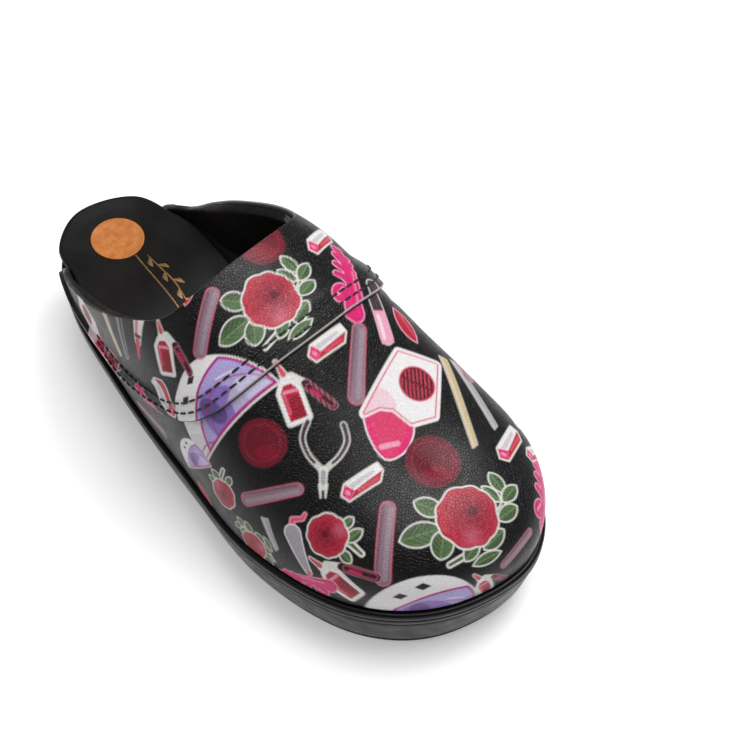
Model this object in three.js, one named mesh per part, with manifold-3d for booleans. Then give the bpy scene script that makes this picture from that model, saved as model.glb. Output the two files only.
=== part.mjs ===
// A slip-on clog for the right foot: closed toe, open back, leather upper over a thick moulded sole.
// Millimetres. +X points to the toe, +Y to the big-toe side, +Z up. The sole stands on z = 0.
import * as THREE from "three";
import { mergeVertices } from "three/addons/utils/BufferGeometryUtils.js";
import Module from "manifold-3d";

const wasm = await Module();
wasm.setup();

// ---------------------------------------------------------------- driving dimensions

// Rim of the sole seen from above, from the heel tip along the big-toe side to the toe tip and back.
const RIM = [
  [-131, -2], [-122, 22], [-95, 34.5], [-45, 31], [10, 37], [60, 50], [100, 49], [122, 34],
  [131, 13], [121, -22], [95, -46], [50, -57], [0, -52], [-50, -45], [-93, -35], [-121, -20],
];
const TOE_TIP = 8; // index of the toe tip in RIM
const END_X = 100; // past this distance from the middle, stations follow the arc of the heel or toe
const END_RUN = 60; // station length given to each of those two arcs
const HEEL_STATION = -END_X - END_RUN;
const TOE_STATION = END_X + END_RUN;

const GAP = 0.35; // bond line between pieces that touch
const WELD = 1e-3; // corners closer than this are one corner
const SIDE_STEPS = 22; // stations along each side of a sole layer

// Middle line that the layers close onto.
const SPINE_Y = [[-96, 0], [-40, -5], [0, -3], [40, 2], [86, 4]];
const SPINE_BENDS = { heel: [-70, -96], toe: [50, 86] }; // where the line slows down, and where it stops

// Sole: heights of the top of its edge, of its bands, and of the ground line.
const SEAT = [[-131, 42], [-95, 41.5], [-55, 38], [-15, 33], [30, 32], [90, 33], [131, 35]];
const ARCH = { x: -36, half: 36, rise: 4 };
const TOE_SPRING = { from: 98, rise: 3 };
const TREAD = { thick: 4.5, setBack: 0.6, bevel: 1, groove: 2, grooveWidth: 3, pitch: 10.5, border: 7 };
const TREAD_FIELDS = [[-96, -74], [14, 98]]; // stretches of x with grooves across them
const RAND = { height: 7.5, thick: 5 };
// Face of the rand from its foot to its top: inset from the rim, by share of its height.
const RAND_FACE = [[1.2, 0], [0.2, 0.12], [0, 0.38], [0.5, 0.5], [0, 0.62], [0.1, 0.87], [1.2, 1]];
// Wall of the sole: inset from the rim at the forefoot and at the heel, by share of the wall's height.
const WALL = [
  { share: 0, front: 4.5, heel: 6 },
  { share: 0.12, front: 3.5, heel: 4.6 },
  { share: 0.5, front: 2, heel: 3.4 },
  { share: 0.62, front: 1.4, heel: 5.9 },
  { share: 0.9, front: 1, heel: 5.4 },
  { share: 1, front: 2.4, heel: 2.4 },
];
const WALL_TO_HEEL = [-18, -62]; // where the wall goes over from the forefoot's shape to the heel's
const SHELF_SHARES = [0, 0.45, 0.8]; // rings of a flat layer, by share of the way to the middle line

// Inside of the sole.
const SHANK = { from: -98, to: 6, width: 14, thick: 1.4, endWidth: 0.55, squareness: 8 };
const FILLER = { from: 14, to: 104, thick: 1.6, inset: 17, close: 0.5 }; // close: share of its inner ring
const BOARD = { thick: 1.6 };
const FOOTBED = {
  heelRim: 52, // height of the heel cup's rim
  rimBack: 14, // how far behind the wall's change the rim rises
  forefoot: 4.2, // from the board to the cover's top, forward of the arch
  heelInset: 1.2,
  frontDish: 1.4,
  heelDish: 4.3,
  dishBack: 24,
};
const HEEL_OPEN = [-134, -112]; // stations over which the layers draw in from the open heel's rim
const INSIDE_LINING = [[-20, 6.4], [50, 8], [100, 7.6]]; // inset that clears the lining
const FOOTBED_SHARES = [0, 0.1, 0.24, 0.42, 0.62, 0.84]; // rings of its top, as in SHELF_SHARES
const CORE_FOOT_SHARES = [0.84, 0.42, 0]; // rings of its underside
const RIM_TURN = 0.8; // height over which the core's rim turns down
const DISH_ROUNDNESS = 2.2;
const COVER = 1.3; // leather over the footbed
const COVER_ROUND = 1.4; // height over which the cover turns down into its skirt
const PATCH = { x: -105, y: 1.5, rx: 12, ry: 11.4, thick: 0.4, sides: 24 };

// Upper.
const FEATHER_INSET = 2; // the upper meets the sole this far in from the rim
const FEATHER_BEND = 2; // height over which the leather turns under
const MARGIN = [11, 3]; // leather turned under the board: reach of its edge, and of a row before it
const LEATHER = 1.8;
const LINING = 1;
const PUFF = { thick: 1, from: 96 };
const FOAM = { thick: 2.2 };
const RIDGE = [[-96, 118], [-40, 117], [-8, 114], [25, 97], [50, 82], [86, 65]];
const ROUNDNESS = 0.88; // exponent of the arch: 1 is an ellipse, less is squarer
const BULGE_LATERAL = [[-90, 2], [-20, 3], [50, -2], [110, 2], [160, 2]];
const BULGE_MEDIAL = [[-90, 3], [-10, 19], [50, 11], [110, 5], [160, 2]];

// Edges across the upper, as [angle, station]: 0 is the outer feather line, 90 the ridge, 180 the inner one.
const TOPLINE = [
  [0, -119], [4, -108], [9, -94], [15, -80], [22, -62], [37, -35], [52, -14], [70, -7], [90, -6],
  [112, -10], [126, -18], [138, -37], [150, -57], [160, -72], [171, -89], [176, -104], [180, -119],
];
const SEAM = [
  [0, -119], [3, -98], [6, -66], [10, -38], [16, -16], [24, 4], [36, 17], [55, 25], [80, 29],
  [100, 29], [128, 24], [146, 13], [158, -6], [166, -28], [171, -50], [177, -98], [180, -119],
];
const LAP = 9; // how far the instep panel lies over the vamp
const LAP_START = 0.12; // least share of the way from topline to seam at which the vamp begins
const THREAD = { radius: 0.4, rows: [2.8, 6.2], sides: 5, steps: 60, ends: 7 }; // ends: first angle

const COLUMN_ANGLES = [0, 2, 4.5, 8, 12, 17, 23, 31, 40, 50, 61, 75, 90];
const LINING_FOOT = 1.8; // angle at which the lining and the puff start, clear of the turned leather
const PANEL_EDGE = 1; // columns left free of the instep panel at each feather line
const ROWS = { panel: 4, lap: 2, vamp: 12 };

// ---------------------------------------------------------------- curves

// Smooth curve through [x, y] pairs, flat past both ends.
function through(points) {
  const slope = (i) => {
    const a = points[Math.max(i - 1, 0)];
    const b = points[Math.min(i + 1, points.length - 1)];
    return (b[1] - a[1]) / (b[0] - a[0]);
  };
  return (x) => {
    if (x <= points[0][0]) return points[0][1];
    const i = points.findIndex((p) => p[0] >= x) - 1;
    if (i < 0) return points[points.length - 1][1];
    const [x0, y0] = points[i];
    const [x1, y1] = points[i + 1];
    const run = x1 - x0;
    const t = (x - x0) / run;
    const h = t * t * (3 - 2 * t);
    const start = slope(i) * run * t * (1 - t) * (1 - t);
    const end = slope(i + 1) * run * t * t * (t - 1);
    return y0 + (y1 - y0) * h + start + end;
  };
}

const { lerp, smoothstep, clamp, degToRad } = THREE.MathUtils;
const slowDown = (x, from, stop) => {
  const past = (x - from) / (stop - from);
  return past <= 0 ? x : from + (stop - from) * Math.tanh(past);
};

const rimCurve = new THREE.CatmullRomCurve3(
  RIM.map(([x, y]) => new THREE.Vector3(x, y, 0)), true, "centripetal",
);
const MEDIAL = halfRim(0, TOE_TIP / RIM.length);
const LATERAL = halfRim(1, TOE_TIP / RIM.length);

// One side of the rim from the heel tip to the toe tip, as dense points with their running length.
function halfRim(from, to) {
  const count = 400;
  const points = [];
  for (let i = 0; i <= count; i++) points.push(rimCurve.getPoint(lerp(from, to, i / count)));
  const lengths = [0];
  for (let i = 1; i <= count; i++) lengths.push(lengths[i - 1] + points[i].distanceTo(points[i - 1]));
  const lengthAt = (x) => lengths[points.findIndex((p) => p.x >= x)];
  return { points, lengths, heelArc: lengthAt(-END_X), toeArc: lengthAt(END_X), total: lengths[count] };
}

// Point of the rim on one side at a station, moved inwards by inset. Between the two end arcs, the
// station is x. On an arc, it is the share of the arc's length.
function rimPoint(side, station, inset = 0) {
  const { points, lengths, heelArc, toeArc, total } = side;
  let i;
  let t;
  if (Math.abs(station) < END_X) {
    i = points.findIndex((p) => p.x > station);
    t = (station - points[i - 1].x) / (points[i].x - points[i - 1].x);
  } else {
    const length = station < 0
      ? heelArc * (station - HEEL_STATION) / END_RUN
      : toeArc + (total - toeArc) * (station - END_X) / END_RUN;
    i = clamp(lengths.findIndex((s) => s >= length), 1, points.length - 1);
    if (length >= total) i = points.length - 1;
    t = clamp((length - lengths[i - 1]) / (lengths[i] - lengths[i - 1]), 0, 1);
  }
  const point = points[i - 1].clone().lerp(points[i], t);
  const along = points[Math.min(i + 4, points.length - 1)].clone().sub(points[Math.max(i - 5, 0)]);
  if (station <= HEEL_STATION || station >= TOE_STATION) along.set(0, side === MEDIAL ? 1 : -1, 0);
  if (station >= TOE_STATION) along.negate();
  const inward = new THREE.Vector3(along.y, -along.x, 0).normalize();
  if (side === LATERAL) inward.negate();
  return point.addScaledVector(inward, inset);
}

const spineY = through(SPINE_Y);
function spinePoint(station) {
  const slowed = -slowDown(-slowDown(station, ...SPINE_BENDS.toe), ...SPINE_BENDS.heel.map((x) => -x));
  return new THREE.Vector3(slowed, spineY(slowed), 0);
}

const seatHeight = through(SEAT);
function groundHeight(x) {
  const fromArch = clamp((x - ARCH.x) / ARCH.half, -1, 1);
  const arch = ARCH.rise * Math.cos(fromArch * Math.PI / 2) ** 2;
  return arch + TOE_SPRING.rise * smoothstep(x, TOE_SPRING.from, RIM[TOE_TIP][0]) ** 2;
}

// ---------------------------------------------------------------- closed bodies

// Welds the corners, drops empty faces, and turns the body's faces outwards.
function closedBody(points, faces) {
  const corners = new THREE.BufferGeometry();
  const numbers = points.flatMap((p) => [p.x, p.y, p.z]);
  corners.setAttribute("position", new THREE.Float32BufferAttribute(numbers, 3));
  corners.setIndex(faces.flat());
  const welded = mergeVertices(corners, WELD);
  const index = welded.index.array;
  const at = (i) => new THREE.Vector3().fromBufferAttribute(welded.attributes.position, i);
  const kept = [];
  let volume = 0;
  for (let f = 0; f < index.length; f += 3) {
    const [a, b, c] = [index[f], index[f + 1], index[f + 2]];
    if (a === b || b === c || c === a) continue;
    kept.push(a, b, c);
    volume += at(a).dot(at(b).cross(at(c)));
  }
  if (volume < 0) kept.reverse();
  welded.setIndex(kept);
  welded.computeVertexNormals();
  return welded;
}

const quad = (a, b, c, d) => [[a, b, c], [a, c, d]];

// Body through a stack of rings with equal counts. Each end is closed by a ladder of faces between
// its two sides, or the last ring joins the first one.
function ringBody(rings, endless = false) {
  const n = rings[0].length;
  const faces = [];
  const joins = endless ? rings.length : rings.length - 1;
  for (let r = 0; r < joins; r++) {
    const low = r * n;
    const high = ((r + 1) % rings.length) * n;
    for (let i = 0; i < n; i++) {
      const j = (i + 1) % n;
      faces.push(...quad(low + i, low + j, high + j, high + i));
    }
  }
  const last = (rings.length - 1) * n;
  for (let i = 0; i < n / 2 && !endless; i++) {
    const far = (n - i) % n;
    faces.push(...quad(i, far, n - 1 - i, i + 1));
    faces.push(...quad(last + i, last + i + 1, last + n - 1 - i, last + far));
  }
  return closedBody(rings.flat(), faces);
}

// Body between an outer and an inner grid of points. With a folded end, the last row of each grid
// already meets itself.
function sheetBody(outer, inner, folded = false) {
  const rows = outer.length;
  const columns = outer[0].length;
  const under = rows * columns;
  const at = (r, c) => r * columns + c;
  const faces = [];
  for (let r = 0; r < rows - 1; r++) {
    for (let c = 0; c < columns - 1; c++) {
      const cell = quad(at(r, c), at(r, c + 1), at(r + 1, c + 1), at(r + 1, c));
      faces.push(...cell);
      faces.push(...cell.map(([i, j, k]) => [k + under, j + under, i + under]));
    }
    const end = columns - 1;
    faces.push(...quad(at(r, 0), at(r + 1, 0), at(r + 1, 0) + under, at(r, 0) + under));
    faces.push(...quad(at(r + 1, end), at(r, end), at(r, end) + under, at(r + 1, end) + under));
  }
  for (let c = 0; c < columns - 1; c++) {
    const end = rows - 1;
    faces.push(...quad(at(0, c + 1), at(0, c), at(0, c) + under, at(0, c + 1) + under));
    if (!folded) faces.push(...quad(at(end, c), at(end, c + 1), at(end, c + 1) + under, at(end, c) + under));
  }
  return closedBody([...outer.flat(), ...inner.flat()], faces);
}

function tubeBody(points, radius, sides, steps) {
  const section = new THREE.Shape();
  for (let i = 0; i < sides; i++) {
    const turn = 2 * Math.PI * i / sides;
    const corner = [radius * Math.cos(turn), radius * Math.sin(turn)];
    if (i === 0) section.moveTo(...corner);
    else section.lineTo(...corner);
  }
  const path = new THREE.CatmullRomCurve3(points, false, "centripetal");
  return new THREE.ExtrudeGeometry(section, { steps, extrudePath: path, bevelEnabled: false });
}

function toSolid(geometry) {
  const bare = new THREE.BufferGeometry();
  bare.setAttribute("position", geometry.attributes.position.clone());
  if (geometry.index) bare.setIndex(geometry.index.clone());
  const merged = mergeVertices(bare, WELD);
  return new wasm.Manifold(new wasm.Mesh({
    numProp: 3,
    vertProperties: new Float32Array(merged.attributes.position.array),
    triVerts: new Uint32Array(merged.index.array),
  }));
}

function fromSolid(solid) {
  const mesh = solid.getMesh();
  const geometry = new THREE.BufferGeometry();
  geometry.setAttribute("position", new THREE.BufferAttribute(new Float32Array(mesh.vertProperties), 3));
  geometry.setIndex(new THREE.BufferAttribute(new Uint32Array(mesh.triVerts), 1));
  geometry.computeVertexNormals();
  return geometry;
}

// ---------------------------------------------------------------- sole layers

// Ring of a layer: heel tip, inner side, toe tip, outer side. height gives z from the point and its
// share of the way to the spine. Stations run from one end to the other, evenly.
function ring(inset, share, height, from = HEEL_STATION, to = TOE_STATION) {
  const place = (side, i) => {
    const station = lerp(from, to, i / SIDE_STEPS);
    const distance = typeof inset === "function" ? inset(station) : inset;
    const point = rimPoint(side, station, distance).lerp(spinePoint(station), share);
    point.z = height(point.x, share, station);
    return point;
  };
  const points = [];
  for (let i = 0; i <= SIDE_STEPS; i++) points.push(place(MEDIAL, i));
  for (let i = SIDE_STEPS - 1; i > 0; i--) points.push(place(LATERAL, i));
  return points;
}

// 1 round the heel, 0 forward of the arch.
const heelShare = (x) => 1 - smoothstep(x, ...WALL_TO_HEEL.toReversed());
const wallInset = ({ front, heel }) => (station) => lerp(front, heel, heelShare(station));
const treadTop = (x) => groundHeight(x) + TREAD.thick;
const randFoot = (x) => seatHeight(x) - RAND.height;
const wallHeight = (share) => (x) => lerp(treadTop(x) + GAP, randFoot(x) - GAP, share);

function treadOutsole() {
  const edge = (station) => wallInset(WALL[0])(station) + TREAD.setBack;
  const body = ringBody([
    ring((station) => edge(station) + TREAD.bevel, 0, groundHeight),
    ring(edge, 0, (x) => groundHeight(x) + TREAD.bevel),
    ring(edge, 0, treadTop),
  ]);
  let solid = toSolid(body);
  for (const [from, to] of TREAD_FIELDS) {
    for (let x = from; x <= to; x += TREAD.pitch) {
      const [inner, outer] = [MEDIAL, LATERAL].map((side) => rimPoint(side, x, edge(x) + TREAD.border).y);
      const bar = new THREE.BoxGeometry(TREAD.grooveWidth, inner - outer, 2 * TREAD.groove);
      bar.translate(x, (inner + outer) / 2, 0);
      solid = solid.subtract(toSolid(bar));
    }
  }
  return fromSolid(solid);
}

// The wall, a step behind the rand, and the flat top under the insole.
function soleUnit() {
  const inside = RAND.thick + GAP;
  return ringBody([
    ...WALL.map((band) => ring(wallInset(band), 0, wallHeight(band.share))),
    ring(inside, 0, (x) => randFoot(x) - GAP),
    ...SHELF_SHARES.map((share) => ring(inside, share, (x) => seatHeight(x) - GAP)),
  ]);
}

// Strip round the top of the sole, with a fine groove along its middle.
function randStrip() {
  const level = (inset, share) => ring(inset, 0, (x) => lerp(randFoot(x), seatHeight(x) - GAP, share));
  return ringBody([
    ...RAND_FACE.map(([inset, share]) => level(inset, share)),
    level(RAND.thick, 1),
    level(RAND.thick, 0),
  ], true);
}

function shank() {
  const steps = 14;
  const row = (lift) => {
    const rows = [];
    for (let i = 0; i <= steps; i++) {
      const x = lerp(SHANK.from, SHANK.to, i / steps);
      const round = Math.sqrt(Math.max(0, 1 - Math.abs(2 * i / steps - 1) ** SHANK.squareness));
      const half = SHANK.width / 2 * lerp(SHANK.endWidth, 1, round);
      const z = seatHeight(x) + lift;
      rows.push([-half, 0, half].map((y) => new THREE.Vector3(x, spineY(x) + y, z)));
    }
    return rows;
  };
  return sheetBody(row(GAP + SHANK.thick), row(GAP));
}

function bottomFiller() {
  const layer = (share, lift) => (
    ring(FILLER.inset, share, (x) => seatHeight(x) + lift, FILLER.from, FILLER.to)
  );
  return ringBody([
    layer(FILLER.close, GAP), layer(0, GAP),
    layer(0, FILLER.thick), layer(FILLER.close, FILLER.thick),
  ]);
}

const boardFoot = LEATHER + 2 * GAP;
const boardTop = boardFoot + BOARD.thick;
const clearOfLining = through(INSIDE_LINING);
// Inset of a layer inside the upper: near the rim at the open heel, inside the lining further on.
const insideUpper = (heelInset, depth = 0) => (station) => (
  depth + lerp(heelInset, clearOfLining(station), smoothstep(station, ...HEEL_OPEN))
);

function insoleBoard() {
  const edge = insideUpper(FOOTBED.heelInset, COVER + GAP);
  const layer = (lift) => (share) => ring(edge, share, (x) => seatHeight(x) + lift);
  return ringBody([
    ...SHELF_SHARES.toReversed().map(layer(boardFoot)),
    ...SHELF_SHARES.map(layer(boardTop)),
  ]);
}

// Top of the footbed's core: a cup at the heel with a raised rim, an arch bump, then nearly flat.
const footbedRim = (x) => (
  lerp(seatHeight(x) + boardTop + FOOTBED.forefoot, FOOTBED.heelRim, heelShare(x + FOOTBED.rimBack))
);
function footbedTop(x, share) {
  const dish = lerp(FOOTBED.frontDish, FOOTBED.heelDish, heelShare(x + FOOTBED.dishBack));
  return footbedRim(x) - COVER - GAP - dish * (1 - (1 - share) ** DISH_ROUNDNESS);
}

function footbedCore() {
  const edge = insideUpper(FOOTBED.heelInset, COVER + GAP);
  const foot = (x) => seatHeight(x) + boardTop + GAP;
  return ringBody([
    ...CORE_FOOT_SHARES.map((share) => ring(edge, share, foot)),
    ring(edge, 0, (x, s) => footbedTop(x, s) - RIM_TURN),
    ...FOOTBED_SHARES.slice(1).map((share) => ring(edge, share, footbedTop)),
  ]);
}

// Leather over the core, with a skirt down to the rand at the open heel.
function footbedCover() {
  const skin = (depth) => insideUpper(FOOTBED.heelInset, depth);
  const foot = (x, s, station) => seatHeight(x) + boardFoot * smoothstep(station, ...HEEL_OPEN);
  const outer = (x, s) => footbedTop(x, s) + GAP + COVER;
  const inner = (x, s) => footbedTop(x, s) + GAP;
  return ringBody([
    ...FOOTBED_SHARES.slice(1).reverse().map((share) => ring(skin(COVER), share, inner)),
    ring(skin(COVER), 0, (x, s) => inner(x, s) - RIM_TURN),
    ring(skin(COVER), 0, foot),
    ring(skin(0), 0, foot),
    ring(skin(0), 0, (x, s) => outer(x, s) - COVER_ROUND),
    ring(skin(COVER_ROUND / 3), 0, (x, s) => outer(x, s) - COVER_ROUND / 5),
    ...FOOTBED_SHARES.slice(1).map((share) => ring(skin(COVER), share, outer)),
  ]);
}

// Oval label laid on the dished cover: each point rests on the leather below it.
function heelPatch(cover) {
  const ray = new THREE.Raycaster();
  const leather = new THREE.Mesh(cover, new THREE.MeshBasicMaterial({ side: THREE.DoubleSide }));
  const down = new THREE.Vector3(0, 0, -1);
  const level = (share, lift) => {
    const points = [];
    for (let i = 0; i < PATCH.sides; i++) {
      const turn = 2 * Math.PI * i / PATCH.sides;
      const x = PATCH.x + share * PATCH.rx * Math.cos(turn);
      const y = PATCH.y + share * PATCH.ry * Math.sin(turn);
      ray.set(new THREE.Vector3(x, y, 200), down);
      points.push(new THREE.Vector3(x, y, ray.intersectObject(leather)[0].point.z + lift));
    }
    return points;
  };
  const shares = [0.25, 0.6, 1];
  return ringBody([
    ...shares.map((share) => level(share, GAP)),
    ...shares.toReversed().map((share) => level(share, GAP + PATCH.thick)),
  ]);
}

// ---------------------------------------------------------------- upper

const ridgeHeight = through(RIDGE);
const bulgeLateral = through(BULGE_LATERAL);
const bulgeMedial = through(BULGE_MEDIAL);

// Point of the upper's arch at a station. depth is how far it lies under the outer face.
function upperPoint(station, angle, depth) {
  const side = angle <= 90 ? LATERAL : MEDIAL;
  const bulge = angle <= 90 ? bulgeLateral(station) : bulgeMedial(station);
  const turn = degToRad(angle <= 90 ? angle : 180 - angle);
  const edge = rimPoint(side, station, FEATHER_INSET);
  const spine = spinePoint(station);
  const outward = edge.clone().sub(spine);
  const reach = outward.length();
  outward.normalize();
  const foot = seatHeight(edge.x) + FEATHER_BEND;
  const rise = ridgeHeight(spine.x) - foot - depth;
  const out = (reach - depth) * Math.max(Math.cos(turn), 0) ** ROUNDNESS + bulge * Math.sin(2 * turn);
  const point = spine.addScaledVector(outward, out);
  point.z = foot + rise * Math.sin(turn) ** ROUNDNESS;
  return point;
}

const ANGLES = [...COLUMN_ANGLES, ...COLUMN_ANGLES.slice(0, -1).toReversed().map((a) => 180 - a)];
const topline = through(TOPLINE);
const seam = through(SEAM);

// Stations of one column's rows: topline, vamp's back edge, seam, toe tip. Rows are closer at the toe.
function columnRows(angle) {
  const top = topline(angle);
  const front = seam(angle);
  const lap = Math.max(lerp(top, front, LAP_START), front - LAP);
  const rows = [];
  for (let i = 0; i < ROWS.panel; i++) rows.push(lerp(top, lap, i / ROWS.panel));
  for (let i = 0; i < ROWS.lap; i++) rows.push(lerp(lap, front, i / ROWS.lap));
  for (let i = 0; i <= ROWS.vamp; i++) rows.push(lerp(front, TOE_STATION, i / ROWS.vamp));
  return rows;
}
const STATIONS = ANGLES.map(columnRows);
const LAP_ROW = ROWS.panel;
const SEAM_ROW = ROWS.panel + ROWS.lap;
const LAST_ROW = SEAM_ROW + ROWS.vamp;

// Grid of points on the arch over the given rows and columns, at a depth that may vary. The outermost
// columns start no lower than foot.
function grid(rows, columns, depth, foot = 0) {
  const points = [];
  for (let r = rows[0]; r <= rows[1]; r++) points.push([]);
  for (let c = columns[0]; c <= columns[1]; c++) {
    const angle = clamp(ANGLES[c], foot, 180 - foot);
    const stations = angle === ANGLES[c] ? STATIONS[c] : columnRows(angle);
    points.forEach((line, i) => {
      const r = rows[0] + i;
      line.push(upperPoint(stations[r], angle, depth(r, c)));
    });
  }
  return points;
}

// Adds the leather turned under the board to both ends of each row.
function withMargin(points, rows, depth) {
  const turned = (side, station) => MARGIN.map((reach) => {
    const edge = rimPoint(side, station, FEATHER_INSET);
    const inward = spinePoint(station).sub(edge).normalize();
    const point = edge.addScaledVector(inward, reach);
    point.z = seatHeight(point.x) + depth;
    return point;
  });
  return points.map((line, i) => {
    const r = rows[0] + i;
    const near = turned(LATERAL, STATIONS[0][r]);
    const far = turned(MEDIAL, STATIONS[ANGLES.length - 1][r]);
    return [...near, ...line, ...far.toReversed()];
  });
}

const ALL_COLUMNS = [0, ANGLES.length - 1];
const PANEL_COLUMNS = [PANEL_EDGE, ANGLES.length - 1 - PANEL_EDGE];
const PUFF_ROW = STATIONS[COLUMN_ANGLES.length - 1].findIndex((station) => station >= PUFF.from);
const FOAM_ROW = 2; // last row of the foam
const FOAM_COLUMN = COLUMN_ANGLES.indexOf(23); // first column of the foam

function vamp() {
  const rows = [LAP_ROW, LAST_ROW];
  const outer = withMargin(grid(rows, ALL_COLUMNS, () => 0), rows, 0);
  const inner = withMargin(grid(rows, ALL_COLUMNS, () => LEATHER), rows, LEATHER);
  return sheetBody(outer, inner, true);
}

// The panel lies on the lining, and steps up over the vamp where the two lap.
function instepPanel() {
  const rows = [0, SEAM_ROW];
  const lapped = LEATHER + GAP;
  const rise = (r) => (r >= LAP_ROW ? lapped : lapped * smoothstep(r, LAP_ROW - 2, LAP_ROW) ** 2);
  const outer = grid(rows, PANEL_COLUMNS, (r) => -rise(r));
  const inner = grid(rows, PANEL_COLUMNS, (r) => LEATHER - rise(r));
  return sheetBody(outer, inner);
}

// Depth of the lining's face: under the leather, and deeper under the toe puff or the foam.
function liningDepth(r, c) {
  const bare = LEATHER + GAP;
  if (r >= PUFF_ROW - 1) return bare + PUFF.thick + GAP;
  const fromSide = Math.min(c, ANGLES.length - 1 - c);
  const foam = smoothstep(fromSide, FOAM_COLUMN - 3, FOAM_COLUMN) * (r <= FOAM_ROW ? 1 : 0);
  return bare + foam * (FOAM.thick + GAP);
}

function lining(rows, columns, folded) {
  return sheetBody(
    grid(rows, columns, liningDepth, LINING_FOOT),
    grid(rows, columns, (r, c) => liningDepth(r, c) + LINING, LINING_FOOT),
    folded,
  );
}

function toePuff() {
  const rows = [PUFF_ROW, LAST_ROW];
  const depth = LEATHER + GAP;
  return sheetBody(
    grid(rows, ALL_COLUMNS, () => depth, LINING_FOOT),
    grid(rows, ALL_COLUMNS, () => depth + PUFF.thick, LINING_FOOT),
    true,
  );
}

function collarFoam() {
  const rows = [0, FOAM_ROW];
  const columns = [FOAM_COLUMN, ANGLES.length - 1 - FOAM_COLUMN];
  const depth = LEATHER + GAP;
  return sheetBody(
    grid(rows, columns, () => depth),
    grid(rows, columns, () => depth + FOAM.thick),
  );
}

// Point at a distance behind the seam edge, measured square to it over the leather.
function behindSeam(angle, back, depth) {
  const station = seam(angle);
  const perDegree = upperPoint(station, angle - 0.5, 0).distanceTo(upperPoint(station, angle + 0.5, 0));
  const slope = seam(angle + 0.5) - seam(angle - 0.5);
  const run = Math.hypot(perDegree, slope);
  return upperPoint(station - back * perDegree / run, angle + back * slope / run / perDegree, depth);
}

// One row of seam thread on the instep panel, from wing to wing.
function seamThread(back) {
  const points = [];
  const above = LEATHER + 2 * GAP + THREAD.radius;
  for (let i = 0; i <= THREAD.steps; i++) {
    const angle = lerp(THREAD.ends, 180 - THREAD.ends, i / THREAD.steps);
    points.push(behindSeam(angle, back, -above));
  }
  return tubeBody(points, THREAD.radius, THREAD.sides, THREAD.steps);
}

// ---------------------------------------------------------------- assembly

const clog = new THREE.Group();

function add(name, geometry, color, roughness, metalness = 0) {
  const mesh = new THREE.Mesh(geometry, new THREE.MeshStandardMaterial({ color, roughness, metalness }));
  mesh.name = name;
  clog.add(mesh);
}

add("tread_outsole", treadOutsole(), 0x1c1c1c, 0.8);
add("sole_unit", soleUnit(), 0x262626, 0.45);
add("rand_strip", randStrip(), 0x232323, 0.4);
add("shank", shank(), 0x9aa0a6, 0.35, 1);
add("bottom_filler", bottomFiller(), 0x8a6a48, 0.9);
add("insole_board", insoleBoard(), 0x9c7b56, 0.9);
add("footbed_core", footbedCore(), 0x8f6b45, 0.95);
const cover = footbedCover();
add("footbed_cover", cover, 0x1d1c1b, 0.5);
add("heel_patch", heelPatch(cover), 0xc87838, 0.6);
add("vamp", vamp(), 0x1c1a1f, 0.4);
add("instep_panel", instepPanel(), 0x201d24, 0.4);
add("vamp_lining", lining([LAP_ROW + 1, LAST_ROW], ALL_COLUMNS, true), 0x151515, 0.8);
add("instep_lining", lining([0, LAP_ROW], PANEL_COLUMNS, false), 0x131313, 0.6);
add("toe_puff", toePuff(), 0xd8cfbf, 0.8);
add("collar_foam", collarFoam(), 0x5a5a5a, 1);
add("seam_thread_front", seamThread(THREAD.rows[0]), 0x0c0c0c, 0.7);
add("seam_thread_rear", seamThread(THREAD.rows[1]), 0x0c0c0c, 0.7);

// The origin lies under the middle of the clog, on the ground.
const extent = new THREE.Box3().setFromObject(clog);
const middle = extent.getCenter(new THREE.Vector3());
clog.position.set(-middle.x, -middle.y, -extent.min.z);

export default clog;
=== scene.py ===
import math

import bpy
import numpy as np
from mathutils import Matrix, Vector
from mathutils.bvhtree import BVHTree


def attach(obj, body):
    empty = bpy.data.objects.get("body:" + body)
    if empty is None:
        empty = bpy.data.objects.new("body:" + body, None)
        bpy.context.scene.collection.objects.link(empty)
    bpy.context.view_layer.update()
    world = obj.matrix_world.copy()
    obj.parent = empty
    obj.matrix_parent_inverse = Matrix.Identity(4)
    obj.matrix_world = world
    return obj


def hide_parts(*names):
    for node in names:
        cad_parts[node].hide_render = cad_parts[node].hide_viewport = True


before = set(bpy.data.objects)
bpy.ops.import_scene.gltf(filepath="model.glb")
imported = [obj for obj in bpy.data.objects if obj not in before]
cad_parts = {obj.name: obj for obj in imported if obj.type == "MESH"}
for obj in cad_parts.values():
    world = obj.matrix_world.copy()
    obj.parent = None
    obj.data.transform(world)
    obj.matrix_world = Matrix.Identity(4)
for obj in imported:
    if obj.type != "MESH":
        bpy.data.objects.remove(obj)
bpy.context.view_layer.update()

MM = 0.001

# ------------------------------------------------------------------ camera

CAMERA = {
    "place": (0.2239, -0.1563, 0.4050),
    "azimuth": 45.47,
    "elevation": 53.05,
    "roll": -0.56,
    "lens": 52.07,
}


def make_camera():
    azimuth = math.radians(CAMERA["azimuth"])
    elevation = math.radians(CAMERA["elevation"])
    roll = math.radians(CAMERA["roll"])
    back = Vector((
        math.sin(azimuth) * math.cos(elevation),
        -math.cos(azimuth) * math.cos(elevation),
        math.sin(elevation),
    ))
    right = Vector((math.cos(azimuth), math.sin(azimuth), 0))
    up = back.cross(right)
    turned_right = right * math.cos(roll) + up * math.sin(roll)
    turned_up = up * math.cos(roll) - right * math.sin(roll)
    data = bpy.data.cameras.new("camera")
    data.lens = CAMERA["lens"]
    data.sensor_width = 36
    data.clip_start = 0.01
    camera = bpy.data.objects.new("camera", data)
    bpy.context.scene.collection.objects.link(camera)
    matrix = Matrix((turned_right, turned_up, back)).transposed().to_4x4()
    matrix.translation = Vector(CAMERA["place"])
    camera.matrix_world = matrix
    bpy.context.scene.camera = camera


make_camera()

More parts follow.
